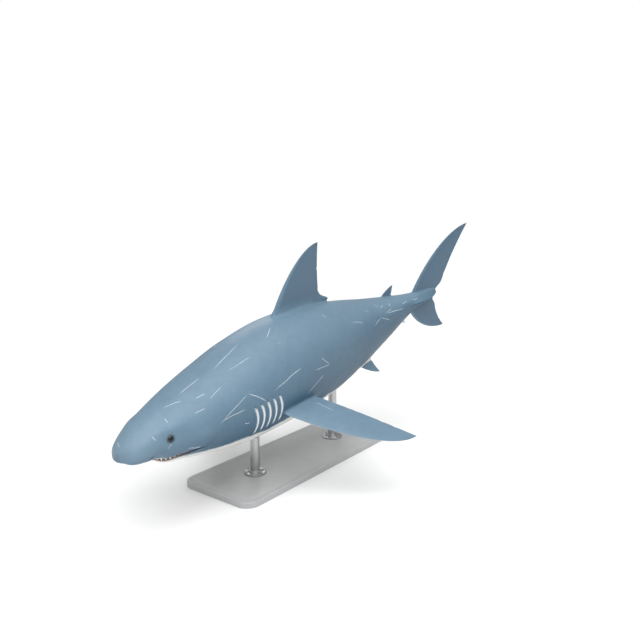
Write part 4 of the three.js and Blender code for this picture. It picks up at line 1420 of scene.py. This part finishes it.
studio = {
    "floor": (0.925, 0.925, 0.925), "skyStrength": 0.3, "farFloor": (1.0, 1.0, 1.0),
    "camera": {"place": (-4.1444, -3.4452, 2.2001), "azimuth": -52.5645, "elevation": 10.3901, "lens": 37.33},
    "ceiling": {"power": 3.0, "spread": 75, "tilt": (14, -10)},     # an even soft light from above
    # name, place, aimed at, size, power
    "lamps": (
        ("keyPanel", (-3.4, -3.0, 3.6), (-0.6, 0.0, 0.9), (2.5, 1.6), 45.0),
        ("backPanel", (2.8, 3.4, 3.4), (0.3, 0.0, 1.0), (2.5, 1.6), 35.0),
    ),
}


def buildFloor():
    corners = [(-60, -60, 0), (60, -60, 0), (60, 60, 0), (-60, 60, 0)]
    made, t, into = newMaterial("paleFloor")
    patch = mottled(t, objectPlace(t), 1.6, 0.6)
    feed(t, into["Base Color"], blend(t, patch, studio["floor"], tuple(c * 0.985 for c in studio["floor"])))
    feed(t, into["Roughness"], span(t, patch, 0.0, 1.0, 0.55, 0.65))
    plane = newObject("floor", corners, [(0, 1, 2, 3)])
    plane.data.materials.append(made)
    return plane


def buildCamera():
    view = studio["camera"]
    camera = placed("camera", bpy.data.cameras.new("camera"))
    a, e = math.radians(view["azimuth"]), math.radians(view["elevation"])
    back = Vector((math.sin(a) * math.cos(e), -math.cos(a) * math.cos(e), math.sin(e)))
    camera.location = view["place"]
    camera.rotation_euler = back.to_track_quat("Z", "Y").to_euler()
    camera.data.lens, camera.data.sensor_width, camera.data.clip_end = view["lens"], 36, 400
    return camera


def buildSky():
    world = bpy.data.worlds.new("studio")
    world.use_nodes = True
    sky, strength = world.node_tree, studio["skyStrength"]
    background = sky.nodes["Background"].inputs
    background["Strength"].default_value = strength
    # seen directly, the sky is as bright as the far floor, so that no horizon shows
    direct = addNode(sky, "LightPath").outputs["Is Camera Ray"]
    seen = tuple(c / strength for c in studio["farFloor"])
    feed(sky, background["Color"], blend(sky, direct, (1.0, 1.0, 1.0), seen))
    return world


def buildLights():
    ceiling = studio["ceiling"]
    sun = bpy.data.lights.new("ceiling", "SUN")
    sun.energy, sun.angle = ceiling["power"], math.radians(ceiling["spread"])
    placed("ceiling", sun).rotation_euler = [math.radians(v) for v in (*ceiling["tilt"], 0)]
    for name, place, aim, size, power in studio["lamps"]:
        lamp = bpy.data.lights.new(name, "AREA")
        lamp.shape, (lamp.size, lamp.size_y), lamp.energy = "RECTANGLE", size, power
        hung = placed(name, lamp)
        hung.location = place
        hung.rotation_euler = (Vector(place) - Vector(aim)).to_track_quat("Z", "Y").to_euler()


floor = buildFloor()
bpy.context.scene.camera = buildCamera()
bpy.context.scene.world = buildSky()
buildLights()
bpy.context.scene.view_settings.view_transform = "Standard"
print("studio set")
